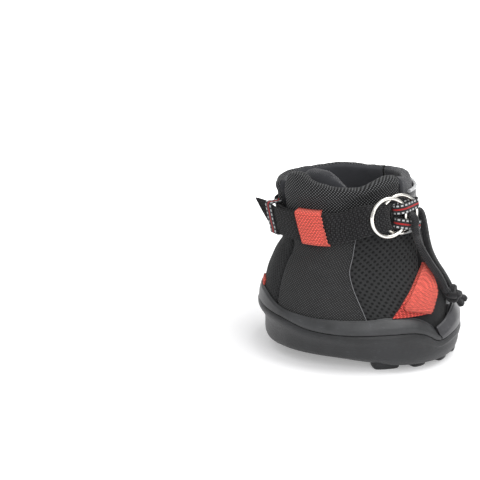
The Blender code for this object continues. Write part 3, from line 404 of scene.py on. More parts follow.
def lug_outline(middle, outward, length, width):
    tangent = Vector((-outward.y, outward.x, 0))
    corner_share = 0.62
    outline = ((1, corner_share), (corner_share, 1), (-corner_share, 1), (-1, corner_share),
               (-1, -corner_share), (-corner_share, -1), (corner_share, -1), (1, -corner_share))
    return [middle + outward * (length / 2 * out) + tangent * (width / 2 * along_edge)
            for out, along_edge in outline]


def rand_loop(turn):
    low = groove(turn) + seam_gap
    high = boot_height * along(rand_top_shares, round_turn(turn))
    shoulder = low + (high - low) * 0.55
    return [
        upper_point(turn, low, rand_clearance),
        sole_point(turn, lip_inset, low),
        sole_point(turn, side_inset, (low + shoulder) / 2),
        upper_point(turn, shoulder, (sole_point(turn, 0, 0) - upper_base(turn, shoulder)).xy.length * 0.72),
        upper_point(turn, high - rand_lip_thickness / 3, rand_lip_thickness),
        upper_point(turn, high, rand_lip_thickness / 2),
        upper_point(turn, high, rand_clearance),
    ]


def toe_cap_loop(turn):
    inner_lift = shield_thickness + seat_gap * 5
    low = groove(turn) + seam_gap
    high = boot_height * along(toe_cap_top_shares, round_turn(turn))
    shoulder = low + (high - low) * 0.5
    reach = (sole_point(turn, 0, 0) - upper_base(turn, shoulder)).xy.length
    return [
        upper_point(turn, low, inner_lift),
        sole_point(turn, lip_inset, low),
        sole_point(turn, side_inset, low + (shoulder - low) * 0.6),
        upper_point(turn, shoulder, reach * 0.85),
        upper_point(turn, high - toe_cap_lip_thickness / 2, inner_lift + toe_cap_lip_thickness),
        upper_point(turn, high, inner_lift + toe_cap_lip_thickness / 2),
        upper_point(turn, high, inner_lift),
    ]


def toe_face(height):
    """Furthest reach of the outsole's toe up to a height."""
    points = outsole_profile(0)[1:7]
    reach = points[0].x
    for lower, upper in zip(points, points[1:]):
        if lower.z < height:
            share = min(1.0, (height - lower.z) / (upper.z - lower.z))
            reach = max(reach, lower.lerp(upper, share).x)
    return reach


def panel_top(turn):
    return waist(turn) - seam_gap / 2


def pad_loop(turn, low, high, shift, size):
    """Cross-section of the padded collar: flat where the strap lies, crowned above it, round on top."""
    flat_top = strap_middle(turn) + webbing_width / 2 + collar_flat_margin
    flat_top = min(flat_top, high - collar_thickness)
    if round_turn(turn) < tab_side_turn + 2:
        flat_top = max(flat_top, tab_high(turn) + piping_diameter + piping_gap)
    depth = collar_thickness
    crown = collar_crown * min(1.0, (high - flat_top) / depth)
    bend = min(depth * 0.28, (high - flat_top) * 0.4)
    outline = (
        (low, 0.0),
        ((low + flat_top) / 2, 0.0),
        (flat_top, 0.0),
        (flat_top + (high - flat_top) * 0.4, crown),
        (high - bend, crown * 0.6),
        (high - depth * 0.06, -depth * 0.2),
        (high, -depth * 0.48),
        (high - depth * 0.1, -depth * 0.78),
        (high - depth * 0.5, -depth),
        ((low + high) / 2, -depth),
        (low, -depth * 0.9),
    )
    centre = -depth / 2
    return [upper_point(turn, height, centre + (lift - centre) * size + shift) for height, lift in outline]


def tab_low(turn):
    return boot_height * along(tab_low_shares, round_turn(turn))


def tab_high(turn):
    return boot_height * along(tab_high_shares, round_turn(turn))


def strap_middle(turn):
    return boot_height * along(strap_middle_shares, (turn + 180.0) % 360.0 - 180.0)


def strap_station(turn, lift):
    """Strap lying on the upper, with its width along the upper's slope."""
    point, _, upward, outward = surface_frame(turn, strap_middle(turn))
    return [point + outward * lift, upward, 1.0, 0.0]


def buckle_frame():
    """Origin and directions of the flat plane of the rings: rearwards, upwards and outwards."""
    point, tangent, upward, outward = surface_frame(buckle_turn, buckle_height)
    roll = math.radians(buckle_roll)
    rearward = tangent * math.cos(roll) - upward * math.sin(roll)
    across = upward * math.cos(roll) + tangent * math.sin(roll)
    return point, rearward, across, outward


def buckle_point(back, up, level):
    origin, rearward, across, outward = buckle_frame()
    return origin + rearward * back + across * up + outward * level


def buckle_station(back, level, fold_share, width_share=1.0):
    return [buckle_point(back, 0, level), buckle_frame()[2], width_share, fold_share]


def fold_bend(across):
    """Shift of the strap's lines where it folds inside the inner ring's curved wire."""
    rearward = buckle_frame()[1]
    return rearward * (math.sqrt(ring_radius ** 2 - across ** 2) - ring_radius) * fold_curve_share


def tail_start():
    return strap_station(strap_tail_turn, strap_lift + webbing_thickness / 2 + strap_layer + tail_rise)


def place(forward, aside, height):
    """Point from shares of the toe's reach, the sole's half width and the boot's height."""
    return Vector((toe_reach * forward, sole_half_width * aside, boot_height * height))


# Camera, which stands as in the photograph

view_target = Vector((-0.100, 0.0, 0.0913))
view_distance = 0.87
view_elevation = 17.0
view_half_width = 0.2004


def link_object(name, data):
    item = bpy.data.objects.new(name, data)
    bpy.context.scene.collection.objects.link(item)
    return item


camera = link_object("camera", bpy.data.cameras.new("camera"))
camera.data.sensor_width = 36
camera.data.lens = 18 * view_distance / view_half_width
camera.data.clip_start = 0.01
lean = math.radians(view_elevation)
camera_direction = Vector((0, -math.cos(lean), math.sin(lean)))
camera.location = view_target + camera_direction * view_distance
camera.rotation_euler = (-camera_direction).to_track_quat("-Z", "Y").to_euler()
bpy.context.scene.camera = camera


# Material nodes, written as sums

def set_inputs(tree, node, inputs):
    """Give a node's inputs, by name or number, their fields, sockets or constants."""
    for name, value in inputs.items():
        if isinstance(value, Field):
            value = value.socket
        if isinstance(value, bpy.types.NodeSocket):
            tree.links.new(value, node.inputs[name])
        else:
            node.inputs[name].default_value = value


def new_node(tree, kind, inputs):
    node = tree.nodes.new(kind)
    set_inputs(tree, node, inputs)
    return node


def maths(operation):
    """Method that gives a field, and the others named with it, to a maths node."""
    def made(self, *others):
        node = new_node(self.tree, "ShaderNodeMath", {})
        node.operation = operation
        set_inputs(self.tree, node, dict(enumerate((self, *others))))
        return Field(self.tree, node.outputs[0])
    return made


class Field:
    """A number at each point of a surface, as a socket of a material's node tree."""

    def __init__(self, tree, socket):
        self.tree = tree
        self.socket = socket

    __add__ = maths("ADD")
    __sub__ = maths("SUBTRACT")
    __mul__ = maths("MULTIPLY")
    __truediv__ = maths("DIVIDE")
    sine = maths("SINE")
    size = maths("ABSOLUTE")
    root = maths("SQRT")
    fraction = maths("FRACT")
    floor = maths("FLOOR")
    over = maths("GREATER_THAN")
    most = maths("MAXIMUM")

    def held(self):
        """Cut off below 0 and above 1."""
        result = self + 0.0
        result.socket.node.use_clamp = True
        return result

    def step(self, low, high):
        """Smooth rise from 0 at low to 1 at high."""
        node = new_node(self.tree, "ShaderNodeMapRange", {0: self, 1: low, 2: high})
        node.interpolation_type = "SMOOTHSTEP"
        return Field(self.tree, node.outputs[0])

    def mixed(self, low, high):
        """From low where this is 0 to high where it is 1."""
        node = new_node(self.tree, "ShaderNodeMapRange", {0: self, 3: low, 4: high})
        node.clamp = False
        return Field(self.tree, node.outputs[0])


def shade(colour, factor):
    return tuple(value * factor for value in colour)


class Surface:
    """A Principled material with a pattern in metres along the cloth."""

    def __init__(self, name, colour, roughness, slot, metallic=0.0, shine=0.12):
        self.material = bpy.data.materials.new(name)
        self.material.use_nodes = True
        self.material.diffuse_color = (*colour, 1)
        self.slot = slot
        self.colour = colour
        self.tree = self.material.node_tree
        self.shader = self.tree.nodes["Principled BSDF"]
        self.set({"Base Color": (*colour, 1), "Roughness": roughness, "Metallic": metallic,
                  "Specular IOR Level": shine})

    def set(self, inputs):
        set_inputs(self.tree, self.shader, inputs)

    def cloth(self):
        """Places along and across the cloth, in metres."""
        mapping = new_node(self.tree, "ShaderNodeUVMap", {})
        mapping.uv_map = "cloth"
        split = new_node(self.tree, "ShaderNodeSeparateXYZ", {0: mapping.outputs[0]})
        return Field(self.tree, split.outputs[0]), Field(self.tree, split.outputs[1])

    def grain(self, scale, detail=3.0, roughness=0.6, stretch=(1, 1, 1)):
        """Noise in space, about 0 to 1. The scale is in turns a metre."""
        spot = new_node(self.tree, "ShaderNodeTexCoord", {})
        mapping = new_node(self.tree, "ShaderNodeMapping", {0: spot.outputs["Object"], "Scale": stretch})
        node = new_node(self.tree, "ShaderNodeTexNoise", {
            "Vector": mapping.outputs[0], "Scale": scale, "Detail": detail, "Roughness": roughness})
        return Field(self.tree, node.outputs[0])

    def blended(self, share, low, high):
        """Colour socket from low to high, each a colour or another such socket."""
        node = new_node(self.tree, "ShaderNodeMix", {})
        node.data_type = "RGBA"
        set_inputs(self.tree, node, {index: (*value, 1) if isinstance(value, tuple) else value
                                     for index, value in ((0, share), (6, low), (7, high))})
        return node.outputs[2]

    def dye(self, share, low, high):
        """Colour from the base colour times low to the base colour times high."""
        self.set({"Base Color": self.blended(share, shade(self.colour, low), shade(self.colour, high))})

    def bump(self, field, height):
        """Relief of that height in metres."""
        inputs = {"Strength": 1.0, "Distance": height, "Height": field}
        previous = self.shader.inputs["Normal"].links
        if previous:
            inputs["Normal"] = previous[0].from_socket
        self.set({"Normal": new_node(self.tree, "ShaderNodeBump", inputs).outputs[0]})

    def sheen(self, weight, roughness=0.5, tint=(1, 1, 1)):
        self.set({"Sheen Weight": weight, "Sheen Roughness": roughness, "Sheen Tint": (*tint, 1)})


def weave(u, v, along_pitch, across_pitch, weft_tone=0.5):
    """Plain weave: 0 between threads and 1 on top of each warp thread."""
    across = (u * (math.pi / along_pitch)).sine()
    down = (v * (math.pi / across_pitch)).sine()
    crown = (across.size() * down.size()).root()
    return (across * down).over(0.0).mixed(crown * weft_tone, crown)


def woven_surface(name, colour, along_pitch, across_pitch, contrast, relief, roughness, sheen, painted_glints=False):
    """Heavy woven nylon. The last flag sharpens the thread crowns into bright dashes: painted highlights."""
    surface = Surface(name, colour, roughness, "woven_nylon")
    threads = weave(*surface.cloth(), along_pitch, across_pitch, 0.3)
    mottle = surface.grain(90, 4)
    fluff = surface.grain(2600, 2)
    # Sharpened crowns, when the flag is set: painted highlights on the weave.
    crowns = threads.step(0.35, 0.9) if painted_glints else threads
    tone = crowns * mottle.mixed(0.75, 1.25) * fluff.mixed(0.75, 1.25)
    surface.dye(tone.held(), 1.0 - contrast, 1.0 + contrast)
    surface.bump(threads, relief)
    surface.bump(fluff, relief * 0.3)
    surface.set({"Roughness": mottle.mixed(roughness - 0.08, roughness + 0.08)})
    surface.sheen(sheen)
    return surface


def mesh_surface(name, colour, hole_pitch, row_pitch, hole_radius, relief):
    """Knitted air mesh with staggered holes."""
    surface = Surface(name, colour, 0.85, "air_mesh")
    u, v = surface.cloth()
    row = (v / row_pitch).floor()
    beside = ((u / hole_pitch + row * 0.5).fraction() - 0.5) * hole_pitch
    above = ((v / row_pitch).fraction() - 0.5) * row_pitch * 0.8
    solid = (beside * beside + above * above).root().step(hole_radius * 0.55, hole_radius * 1.25)
    knit = weave(u, v, hole_pitch / 4, row_pitch / 4)
    tone = solid * knit.mixed(0.55, 1.0)
    tone = tone * surface.grain(120, 4).mixed(0.8, 1.2) * surface.grain(2400, 2).mixed(0.75, 1.25)
    surface.dye(tone.held(), 0.4, 1.5)
    surface.bump(solid * knit.mixed(0.85, 1.0), relief)
    surface.sheen(0.08)
    return surface


def webbing_surface(name, colour, slot, pitch, contrast, sheen, tint=(1, 1, 1)):
    """Coarse webbing: rows of herringbone lumps across the width."""
    surface = Surface(name, colour, 0.78, slot)
    u, v = surface.cloth()
    threads = weave(u, v, pitch, pitch * 0.9)
    ribs = (u * (math.pi / (pitch * 2))).sine().size()
    fluff = surface.grain(3000, 2)
    tone = threads.step(0.1, 0.85) * 0.8 + ribs * 0.2
    tone = tone * surface.grain(150, 3).mixed(0.8, 1.2) * fluff.mixed(0.8, 1.2)
    surface.dye(tone.held(), 1.0 - contrast, 1.0 + contrast * 0.6)
    surface.bump(threads, pitch * 0.45)
    surface.bump(fluff, pitch * 0.12)
    surface.sheen(sheen, 0.45, tint)
    return surface


def tape_surface():
    """Black tape with a red line along its middle and a row of pale dots beside each edge."""
    surface = Surface("striped_tape", (0.022, 0.022, 0.024), 0.7, "striped_tape")
    u, v = surface.cloth()
    from_middle = (v - tape_width / 2).size()
    line = from_middle.step(tape_line_reach, tape_line_reach * 0.8)
    beside_edge = (from_middle - tape_dot_lift).size().step(tape_dot_reach, tape_dot_reach * 0.77)
    beat = ((u / tape_dot_pitch).fraction() - 0.5).size().step(0.30, 0.25)
    dots = beside_edge * beat
    threads = weave(u, v, tape_thread_pitch, tape_thread_pitch)
    tone = threads * surface.grain(3000, 2).mixed(0.7, 1.3)
    ground = surface.blended(tone.held(), shade(surface.colour, 0.6), shade(surface.colour, 1.7))
    red = surface.blended(threads, (0.34, 0.012, 0.014), (0.62, 0.035, 0.035))
    pale = surface.blended(threads, (0.42, 0.43, 0.44), (0.82, 0.83, 0.84))
    surface.set({"Base Color": surface.blended(dots, surface.blended(line, ground, red), pale)})
    surface.bump(threads, tape_thread_pitch * 0.4)
    surface.bump(dots + line, tape_dot_relief)
    surface.sheen(0.2)
    return surface


def knit_surface(name, colour, slot, pitch, sheen):
    """Smooth stretch cloth with fine lines."""
    surface = Surface(name, colour, 0.9, slot)
    u, v = surface.cloth()
    across_lines = (v * (math.pi / (pitch * 1.4))).sine().size().mixed(0.7, 1.0)
    lines = (u * (math.pi / pitch)).sine().size() * across_lines
    fluff = surface.grain(2200, 2)
    tone = lines * surface.grain(70, 4).mixed(0.75, 1.25) * fluff.mixed(0.8, 1.2)
    surface.dye(tone.held(), 0.7, 1.3)
    surface.bump(lines, pitch * 0.25)
    surface.bump(fluff, pitch * 0.2)
    surface.sheen(sheen, 0.4)
    return surface


def rubber_surface(name, colour, slot, roughness, pebble, scuff):
    """Moulded rubber with a fine pebble, faint flow marks and paler scuffs."""
    surface = Surface(name, colour, roughness, slot, shine=0.45)
    clouds = surface.grain(38, 5)
    marks = surface.grain(220, 5, 0.7, (1, 1, 2.5))
    scuffs = marks.step(0.56, 0.72) * clouds.step(0.42, 0.62)
    base = surface.blended(clouds.step(0.3, 0.7), shade(colour, 0.7), shade(colour, 1.3))
    surface.set({"Base Color": surface.blended(scuffs * scuff, base, shade(colour, 3.2)),
                 "Roughness": clouds.mixed(roughness - 0.1, roughness + 0.1) + scuffs * 0.12})
    surface.bump(surface.grain(1500, 3), pebble)
    surface.bump(marks, pebble * 2.5)
    return surface


def leather_surface():
    surface = Surface("synthetic_leather", (0.03, 0.03, 0.032), 0.36, "synthetic_leather", shine=0.6)
    spot = new_node(surface.tree, "ShaderNodeTexCoord", {})
    cells = new_node(surface.tree, "ShaderNodeTexVoronoi", {"Vector": spot.outputs["Object"], "Scale": 1300})
    clouds = surface.grain(60, 4)
    surface.dye(clouds, 0.8, 1.3)
    surface.set({"Roughness": clouds.mixed(0.28, 0.46)})
    surface.bump(Field(surface.tree, cells.outputs["Distance"]), leather_relief)
    return surface


def piping_surface():
    surface = Surface("reflective_piping", (0.66, 0.67, 0.68), 0.42, "reflective_piping", shine=0.5)
    beads = weave(*surface.cloth(), bead_pitch, bead_pitch)
    surface.dye((beads * surface.grain(200, 3).mixed(0.7, 1.2)).held(), 0.45, 1.35)
    surface.bump(beads, bead_pitch * 0.24)
    surface.set({"Coat Weight": 0.3})
    return surface


def steel_surface():
    surface = Surface("ring_steel", (0.78, 0.76, 0.71), 0.16, "ring_steel", metallic=1.0, shine=0.5)
    clouds = surface.grain(160, 4)
    surface.dye(clouds, 0.86, 1.12)
    surface.set({"Roughness": clouds.mixed(0.1, 0.24)})
    surface.bump(surface.grain(900, 4, 0.7, (1, 4, 1)), scratch_depth)
    return surface


def braid_surface():
    """Soft braided cord: slanted plaits that cross, with a matt fluffy skin."""
    surface = Surface("cord", (0.024, 0.024, 0.0255), 0.9, "cord")
    u, v = surface.cloth()
    turn = v * (math.tau / (math.pi * cord_girth))
    along_cord = u * (math.tau / plait_pitch)
    plait = (along_cord + turn * 2).sine() * (along_cord - turn * 2).sine() * 0.5 + 0.5
    fluff = surface.grain(2400, 3)
    tone = plait * surface.grain(160, 4).mixed(0.7, 1.3) * fluff.mixed(0.6, 1.4)
    surface.dye(tone.held(), 0.55, 1.75)
    surface.bump(plait, plait_relief)
    surface.bump(fluff, plait_relief / 2)
    surface.sheen(0.25, 0.4)
    return surface


def thread_surface(name, colour, slot):
    surface = Surface(name, colour, 0.7, slot)
    twist = surface.grain(2600, 2)
    surface.dye(twist, 0.7, 1.25)
    surface.bump(twist, thread_relief)
    surface.sheen(0.3, 0.4)
    return surface


cord_girth = 0.0062
plait_pitch = 0.0034
plait_relief = 0.0005
tape_line_reach = 0.00075
tape_dot_lift = 0.00285
tape_dot_pitch = 0.0036
tape_dot_reach = 0.00078
tape_dot_relief = 0.00025
tape_thread_pitch = 0.00045
bead_pitch = 0.0005
leather_relief = 0.00012
scratch_depth = 0.00003
thread_relief = 0.0001

nylon = woven_surface("woven_nylon", (0.051, 0.0515, 0.052), along_pitch=0.00112, across_pitch=0.00118,
                      contrast=0.9, relief=0.0006, roughness=0.6, sheen=0.06)
# Brighter copy of the woven nylon for the collar pads, with sharpened thread crowns: painted highlights on
# the padded collar's crown and its weave.
collar_cloth_painted_highlights = woven_surface("collar_cloth_painted_highlights", (0.085, 0.087, 0.09), along_pitch=0.0013, across_pitch=0.0012,
                             contrast=0.96, relief=0.0007, roughness=0.55, sheen=0.1, painted_glints=True)
side_mesh_cloth = mesh_surface("air_mesh", (0.027, 0.0275, 0.028), hole_pitch=0.0051, row_pitch=0.0028,
                               hole_radius=0.00105, relief=0.0006)
# Darker copy of the air mesh: painted shade on the heel panel, which faces away from the lamps.
heel_mesh_cloth_painted_shade = mesh_surface("heel_mesh_painted_shade", (0.018, 0.0185, 0.019), hole_pitch=0.0036, row_pitch=0.0021,
                               hole_radius=0.0007, relief=0.0006)
stretch = knit_surface("stretch_knit", (0.018, 0.018, 0.019), "stretch_knit", pitch=0.0007, sheen=0.15)
lining_cloth = knit_surface("lining_cloth", (0.043, 0.044, 0.049), "lining_cloth", pitch=0.0006, sheen=0.35)
black_webbing = webbing_surface("black_webbing", (0.03, 0.03, 0.031), "black_webbing", pitch=0.0019,
                                contrast=0.95, sheen=0.1)
red_webbing = webbing_surface("red_webbing", (0.95, 0.15, 0.115), "red_webbing", pitch=0.00145,
                              contrast=0.7, sheen=0.3, tint=(1, 0.6, 0.5))
# Darker copy of the red webbing, in the same slot: painted shade on the first rows of the lateral strap's
# lower layer, under its upper layer.
red_webbing_painted_shade = webbing_surface("red_webbing_painted_shade", (0.8, 0.1, 0.08), "red_webbing", pitch=0.0017,
                              contrast=0.95, sheen=0.15, tint=(1, 0.6, 0.6))
tape = tape_surface()
leather = leather_surface()
piping = piping_surface()
steel = steel_surface()
braid = braid_surface()
sole_rubber = rubber_surface("sole_rubber", (0.016, 0.0165, 0.018), "sole_rubber", roughness=0.42,
                             pebble=0.00012, scuff=0.8)
rand_rubber = rubber_surface("rand_rubber", (0.036, 0.037, 0.039), "sole_rubber", roughness=0.42,
                             pebble=0.00007, scuff=0.5)
toe_rubber = rubber_surface("toe_rubber", (0.05, 0.05, 0.054), "toe_rubber", roughness=0.3,
                            pebble=0.00003, scuff=0.3)
foam = rubber_surface("foam", (0.04, 0.04, 0.042), "foam", roughness=0.9, pebble=0.0002, scuff=0.1)
black_thread = thread_surface("black_thread", (0.05, 0.05, 0.054), "woven_nylon")
pale_thread = thread_surface("pale_thread", (0.22, 0.22, 0.23), "woven_nylon")


# Pieces

def add_piece(name, mesh, surfaces, body, nodes):
    piece = link_object(name, mesh)
    for surface in surfaces:
        mesh.materials.append(surface.material)
    if body:
        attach(piece, body)
    if nodes:
        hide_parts(*nodes)
    return piece


def smooth_outside(mesh):
    """Turn the faces outwards and shade them smooth."""
    mesh_data = bmesh.new()
    mesh_data.from_mesh(mesh)
    bmesh.ops.recalc_face_normals(mesh_data, faces=mesh_data.faces)
    mesh_data.to_mesh(mesh)
    mesh_data.free()
    mesh.shade_smooth()


def skin(name, loops, surfaces, body="boot", nodes=(), closed=False, sharp=42, faces_of=None, across=None):
    """Mesh through loops of points, with the cloth's place in metres kept as its UV map.

    faces_of(row, column) is the index of the material of that face.
    across is each column's place across the cloth, where that isn't its way round the loop.
    """
    rows = len(loops)
    count = len(loops[0])
    along_rows = [[0.0] * count]
    for before, loop in zip(loops, loops[1:] + loops[:1]):
        along_rows.append([done + (point - last).length
                           for done, last, point in zip(along_rows[-1], before, loop)])
    round_rows = []
    for loop in loops + loops[:1]:
        places = [0.0]
        for here, after in zip(loop, loop[1:] + loop[:1]):
            places.append(places[-1] + (after - here).length)
        round_rows.append(across + across[:1] if across else places)
    faces = []
    places = []
    slots = []
    corners = ((0, 0), (0, 1), (1, 1), (1, 0))
    for row in range(rows if closed else rows - 1):
        for column in range(count):
            faces.append([(row + up) % rows * count + (column + on) % count for up, on in corners])
            places += [(along_rows[row + up][(column + on) % count], round_rows[row + up][column + on])
                       for up, on in corners]
            slots.append(faces_of(row, column) if faces_of else 0)
    for row in () if closed else (0, rows - 1):
        faces.append([row * count + column for column in range(count)])
        places += [(along_rows[row][column], round_rows[row][column]) for column in range(count)]
        slots.append(0)
    mesh = bpy.data.meshes.new(name)
    mesh.from_pydata([point for loop in loops for point in loop], [], faces)
    layer = mesh.uv_layers.new(name="cloth")
    for loop_index, pair in enumerate(places):
        layer.data[loop_index].uv = pair
    mesh.polygons.foreach_set("material_index", slots)
    smooth_outside(mesh)
    mesh.set_sharp_from_angle(angle=math.radians(sharp))
    return add_piece(name, mesh, surfaces, body, nodes)


def route_length(points):
    return sum((there - here).length for here, there in zip(points, points[1:]))


def even_points(points, spacing):
    """The same line with points at an even spacing."""
    total = route_length(points)
    count = max(2, int(round(total / spacing)) + 1)
    result = [points[0].copy()]
    index = 0
    done = 0.0
    for number in range(1, count - 1):
        goal = total * number / (count - 1)
        step = (points[index + 1] - points[index]).length
        while done + step < goal:
            done += step
            index += 1
            step = (points[index + 1] - points[index]).length
        result.append(points[index].lerp(points[index + 1], (goal - done) / step))
    result.append(points[-1].copy())
    return result


def carried_frames(points):
    """Directions beside the line at each point, carried along without twist."""
    frames = []
    beside = None
    for index, point in enumerate(points):
        ahead = points[min(index + 1, len(points) - 1)] - points[max(index - 1, 0)]
        ahead.normalize()
        if beside is None:
            beside = ahead.orthogonal().normalized()
        beside = (beside - ahead * beside.dot(ahead)).normalized()
        frames.append((beside, ahead.cross(beside)))
    return frames


def round_tube(name, points, radius, surfaces, sides=14, body="boot", nodes=(), shape=None):
    """Tube along points. shape(place, angle) scales its radius."""
    loops = []
    done = 0.0
    last = points[0]
    angles = [math.tau * side / sides for side in range(sides)]
    for point, (beside, above) in zip(points, carried_frames(points)):
        done += (point - last).length
        last = point
        loops.append([point + (beside * math.cos(angle) + above * math.sin(angle))
                      * (radius * (shape(done, angle) if shape else 1.0)) for angle in angles])
    return skin(name, loops, surfaces, body, nodes)


def join_pieces(first, others):
    """Make the first piece one object with the others, which have its body and its material."""
    mesh_data = bmesh.new()
    mesh_data.from_mesh(first.data)
    for other in others:
        mesh_data.from_mesh(other.data)
        bpy.data.objects.remove(other, do_unlink=True)
    mesh_data.to_mesh(first.data)
    mesh_data.free()
    return first


# Pull cord and its knot

cord_point_spacing = 0.0011
end_point_spacing = 0.0008
cord_line_size = cord_girth / 2 * 0.97
knot_turn_size = cord_girth / 2 * 0.94
cord_end_size = cord_girth / 2 * 0.95
plait_share = 0.045
fray_share = 0.09
knot_depth_share = 0.55
knot_wander = 0.0050 / 3 * 0.93
knot_reach_share = 2.6
knot_steps = 64
cord_end_bends = (-0.0004, 0.0007)


def cord_on_upper(rows):
    return [upper_point(turn, boot_height * share, cord_diameter * lift) for turn, share, lift in rows]


def cord_route(knot):
    """The cord from the knot up the front, through the inner ring and back to the knot."""
    entries = [knot + Vector(shares).normalized() * (knot_radius + knot_gap) for shares in knot_entry_shares]
    points = [entries[0], *cord_on_upper(reversed(cord_front_shares))]
    points += [buckle_point(ring_radius * back, ring_radius * up, ring_radius * level)
               for back, up, level in cord_loop_shares]
    points += [*cord_on_upper(cord_back_shares), entries[1]]
    return smooth_points(points, 4)


def plaited(place_along, angle):
    """Relief of the cord's braid."""
    beat = math.tau * place_along / plait_pitch
    return 1.0 + plait_share * math.sin(beat + 2 * angle) * math.sin(beat - 2 * angle)


def make_cord():
    knot = place(*knot_shares)
    route = cord_route(knot)
    first, last = (knot + (route[index] - knot).normalized() * (knot_radius * knot_depth_share)
                   for index in (0, -1))
    points = even_points(smooth_points([first, *route, last], 2), cord_point_spacing)
    cord = round_tube("cord_line", points, cord_line_size, [braid], 18, nodes=("pull_cord",), shape=plaited)
    knot_piece = make_knot(knot)


def make_knot(knot):
    """Overhand knot of the doubled cord, and its two short ends."""
    ends = [place(*shares) for shares in cord_end_shares]
    forward = (sum(ends, Vector()) / 2 - knot).normalized()
    side = forward.cross(Vector((0, 0, 1))).normalized()
    above = side.cross(forward)
    line = []
    for step in range(knot_steps + 1):
        angle = math.tau * (step % knot_steps) / knot_steps
        swell = 2 + math.cos(3 * angle)
        spot = (side * (math.cos(2 * angle) * swell) + above * (math.sin(2 * angle) * swell)
                + forward * (math.sin(3 * angle) * knot_reach_share))
        line.append(knot + spot * knot_wander)
    piece = round_tube("cord_knot_turns", even_points(line, cord_point_spacing), knot_turn_size, [braid], 16,
                       nodes=("cord_knot",), shape=plaited)
    others = []
    for number, end in enumerate(ends):
        middle = knot.lerp(end, 0.5) + above * cord_end_bends[number]
        line = even_points(smooth_points([knot, middle, end], 6), end_point_spacing)
        long = route_length(line)

        def blunt(done, angle):
            left = (long - done) / (cord_girth / 2)
            round_end = math.sqrt(max(0.05, 1 - (1 - min(left, 1)) ** 2)) if left < 1 else 1.0
            fray = 1.0 + fray_share * math.sin(5 * angle + number) * max(0.0, 1 - left / 2)
            return plaited(done, angle) * round_end * fray

        others.append(round_tube("cord_end_%d" % number, line, cord_end_size, [braid], 16, shape=blunt))
    return join_pieces(piece, others)


make_cord()


# Sole

sole_turns = 150
sole_sharp_turn = 50
button_sides = 40
button_rows = ((0, 1.0), (0.5, 1.0), (0.75, 0.96), (0.8, 0.86), (0.72, 0.78), (0.78, 0.7), (0.95, 0.5),
               (1.0, 0.2))
footbed_rows = ((0, 0.995), (0.75, 1.0), (1, 0.985), (1, 0.6), (1, 0.2))


def refined_profile(turn):
    """The outsole's own outline with its corners rounded."""
    points = outsole_profile(turn)
    return [points[0], points[0].lerp(points[1], 0.9), *smooth_points(points[1:7], 4), *points[7:]]


def make_outsole():
    loops = list(zip(*(refined_profile(turn) for turn in round_turns(sole_turns))))
    piece = skin("outsole_rubber", loops, [sole_rubber], nodes=("outsole",), sharp=sole_sharp_turn)
    lugs = make_lug_shapes()
    union = piece.modifiers.new("lugs", "BOOLEAN")
    union.operation = "UNION"
    union.solver = "EXACT"
    union.object = lugs
    apply_modifiers(piece)
    bpy.data.objects.remove(lugs, do_unlink=True)
    piece.data.set_sharp_from_angle(angle=math.radians(sole_sharp_turn))


def make_lug_shapes():
    mesh_data = bmesh.new()
    rows = [row + (side,) for row in lug_shares for side in (1, -1)]
    rows += [row + (0,) for row in middle_lug_shares]
    rows += [(forward, aside, 0, round_lug_share, side)
             for forward, aside in round_lug_shares for side in (1, -1)]
    rows += [(forward, 0, 0, round_lug_share, 0) for forward in middle_round_lug_shares]
    for forward, aside, heading, width_share, side in rows:
        middle = Vector((toe_reach * forward, -sole_half_width * aside * side, 0))
        angle = math.radians(heading)
        outward = Vector((math.cos(angle), -math.sin(angle) * (side or 1), 0))
        levels = ((0, 2 * lug_chamfer), (lug_chamfer * 0.3, lug_chamfer), (lug_chamfer, lug_chamfer * 0.3),
                  (lug_chamfer * 2, 0), (floor_height - lug_root_depth, 0))
        rings = []
        for height, inset in levels:
            outline = lug_outline(middle, outward, lug_length - inset, lug_length * width_share - inset)
            outline = smooth_loop([point + Vector((0, 0, height)) for point in outline], 3)
            rings.append([mesh_data.verts.new(point) for point in outline])
        mesh_data.faces.new(rings[0][::-1])
        mesh_data.faces.new(rings[-1])
        for lower, upper in zip(rings, rings[1:]):
            for index in range(len(lower)):
                after = (index + 1) % len(lower)
                mesh_data.faces.new((lower[index], lower[after], upper[after], upper[index]))
    bmesh.ops.recalc_face_normals(mesh_data, faces=mesh_data.faces)
    mesh = bpy.data.meshes.new("lug_shapes")
    mesh_data.to_mesh(mesh)
    mesh_data.free()
    mesh.materials.append(sole_rubber.material)
    return link_object("lug_shapes", mesh)


def apply_modifiers(piece):
    bpy.context.view_layer.update()
    graph = bpy.context.evaluated_depsgraph_get()
    mesh = bpy.data.meshes.new_from_object(piece.evaluated_get(graph))
    piece.modifiers.clear()
    old = piece.data
    piece.data = mesh
    bpy.data.meshes.remove(old)


def make_rubber_trim():
    for name, node, surface, loop_at, first, last, count in (
            ("rand_rubber", "rand", rand_rubber, rand_loop, rand_end_turn, 360.0 - rand_end_turn, 170),
            ("toe_cap_rubber", "toe_cap", toe_rubber, toe_cap_loop, -toe_cap_turn, toe_cap_turn, 80)):
        skin(name, [smooth_loop(loop_at(turn), 3) for turn in spread(first, last, count)], [surface],
             nodes=(node,), sharp=60)
    face_x = toe_face(button_height + button_radius) + seat_gap
    loops = []
    for depth, size in button_rows:
        angles = [math.radians(turn) for turn in round_turns(button_sides)]
        loops.append([Vector((face_x + button_thickness * depth, button_radius * size * math.cos(angle),
                              button_height + button_radius * size * math.sin(angle))) for angle in angles])
    skin("toe_button_rubber", loops, [toe_rubber], nodes=("toe_button",), sharp=60)


def make_footbed():
    lift = -(panel_thickness + lining_gap + lining_thickness + seat_gap * 2)
    low = floor_height + seat_gap
    outline = [upper_point(turn, floor_height, lift) for turn in round_turns(96)]
    middle = sum(outline, Vector()) / len(outline)
    loops = [[Vector((*(middle.xy + (point.xy - middle.xy) * size), low + footbed_thickness * rise))
              for point in outline] for rise, size in footbed_rows]
    piece = skin("footbed_foam", loops, [foam], nodes=("footbed",), sharp=70)


make_outsole()
make_rubber_trim()
make_footbed()


# Upper

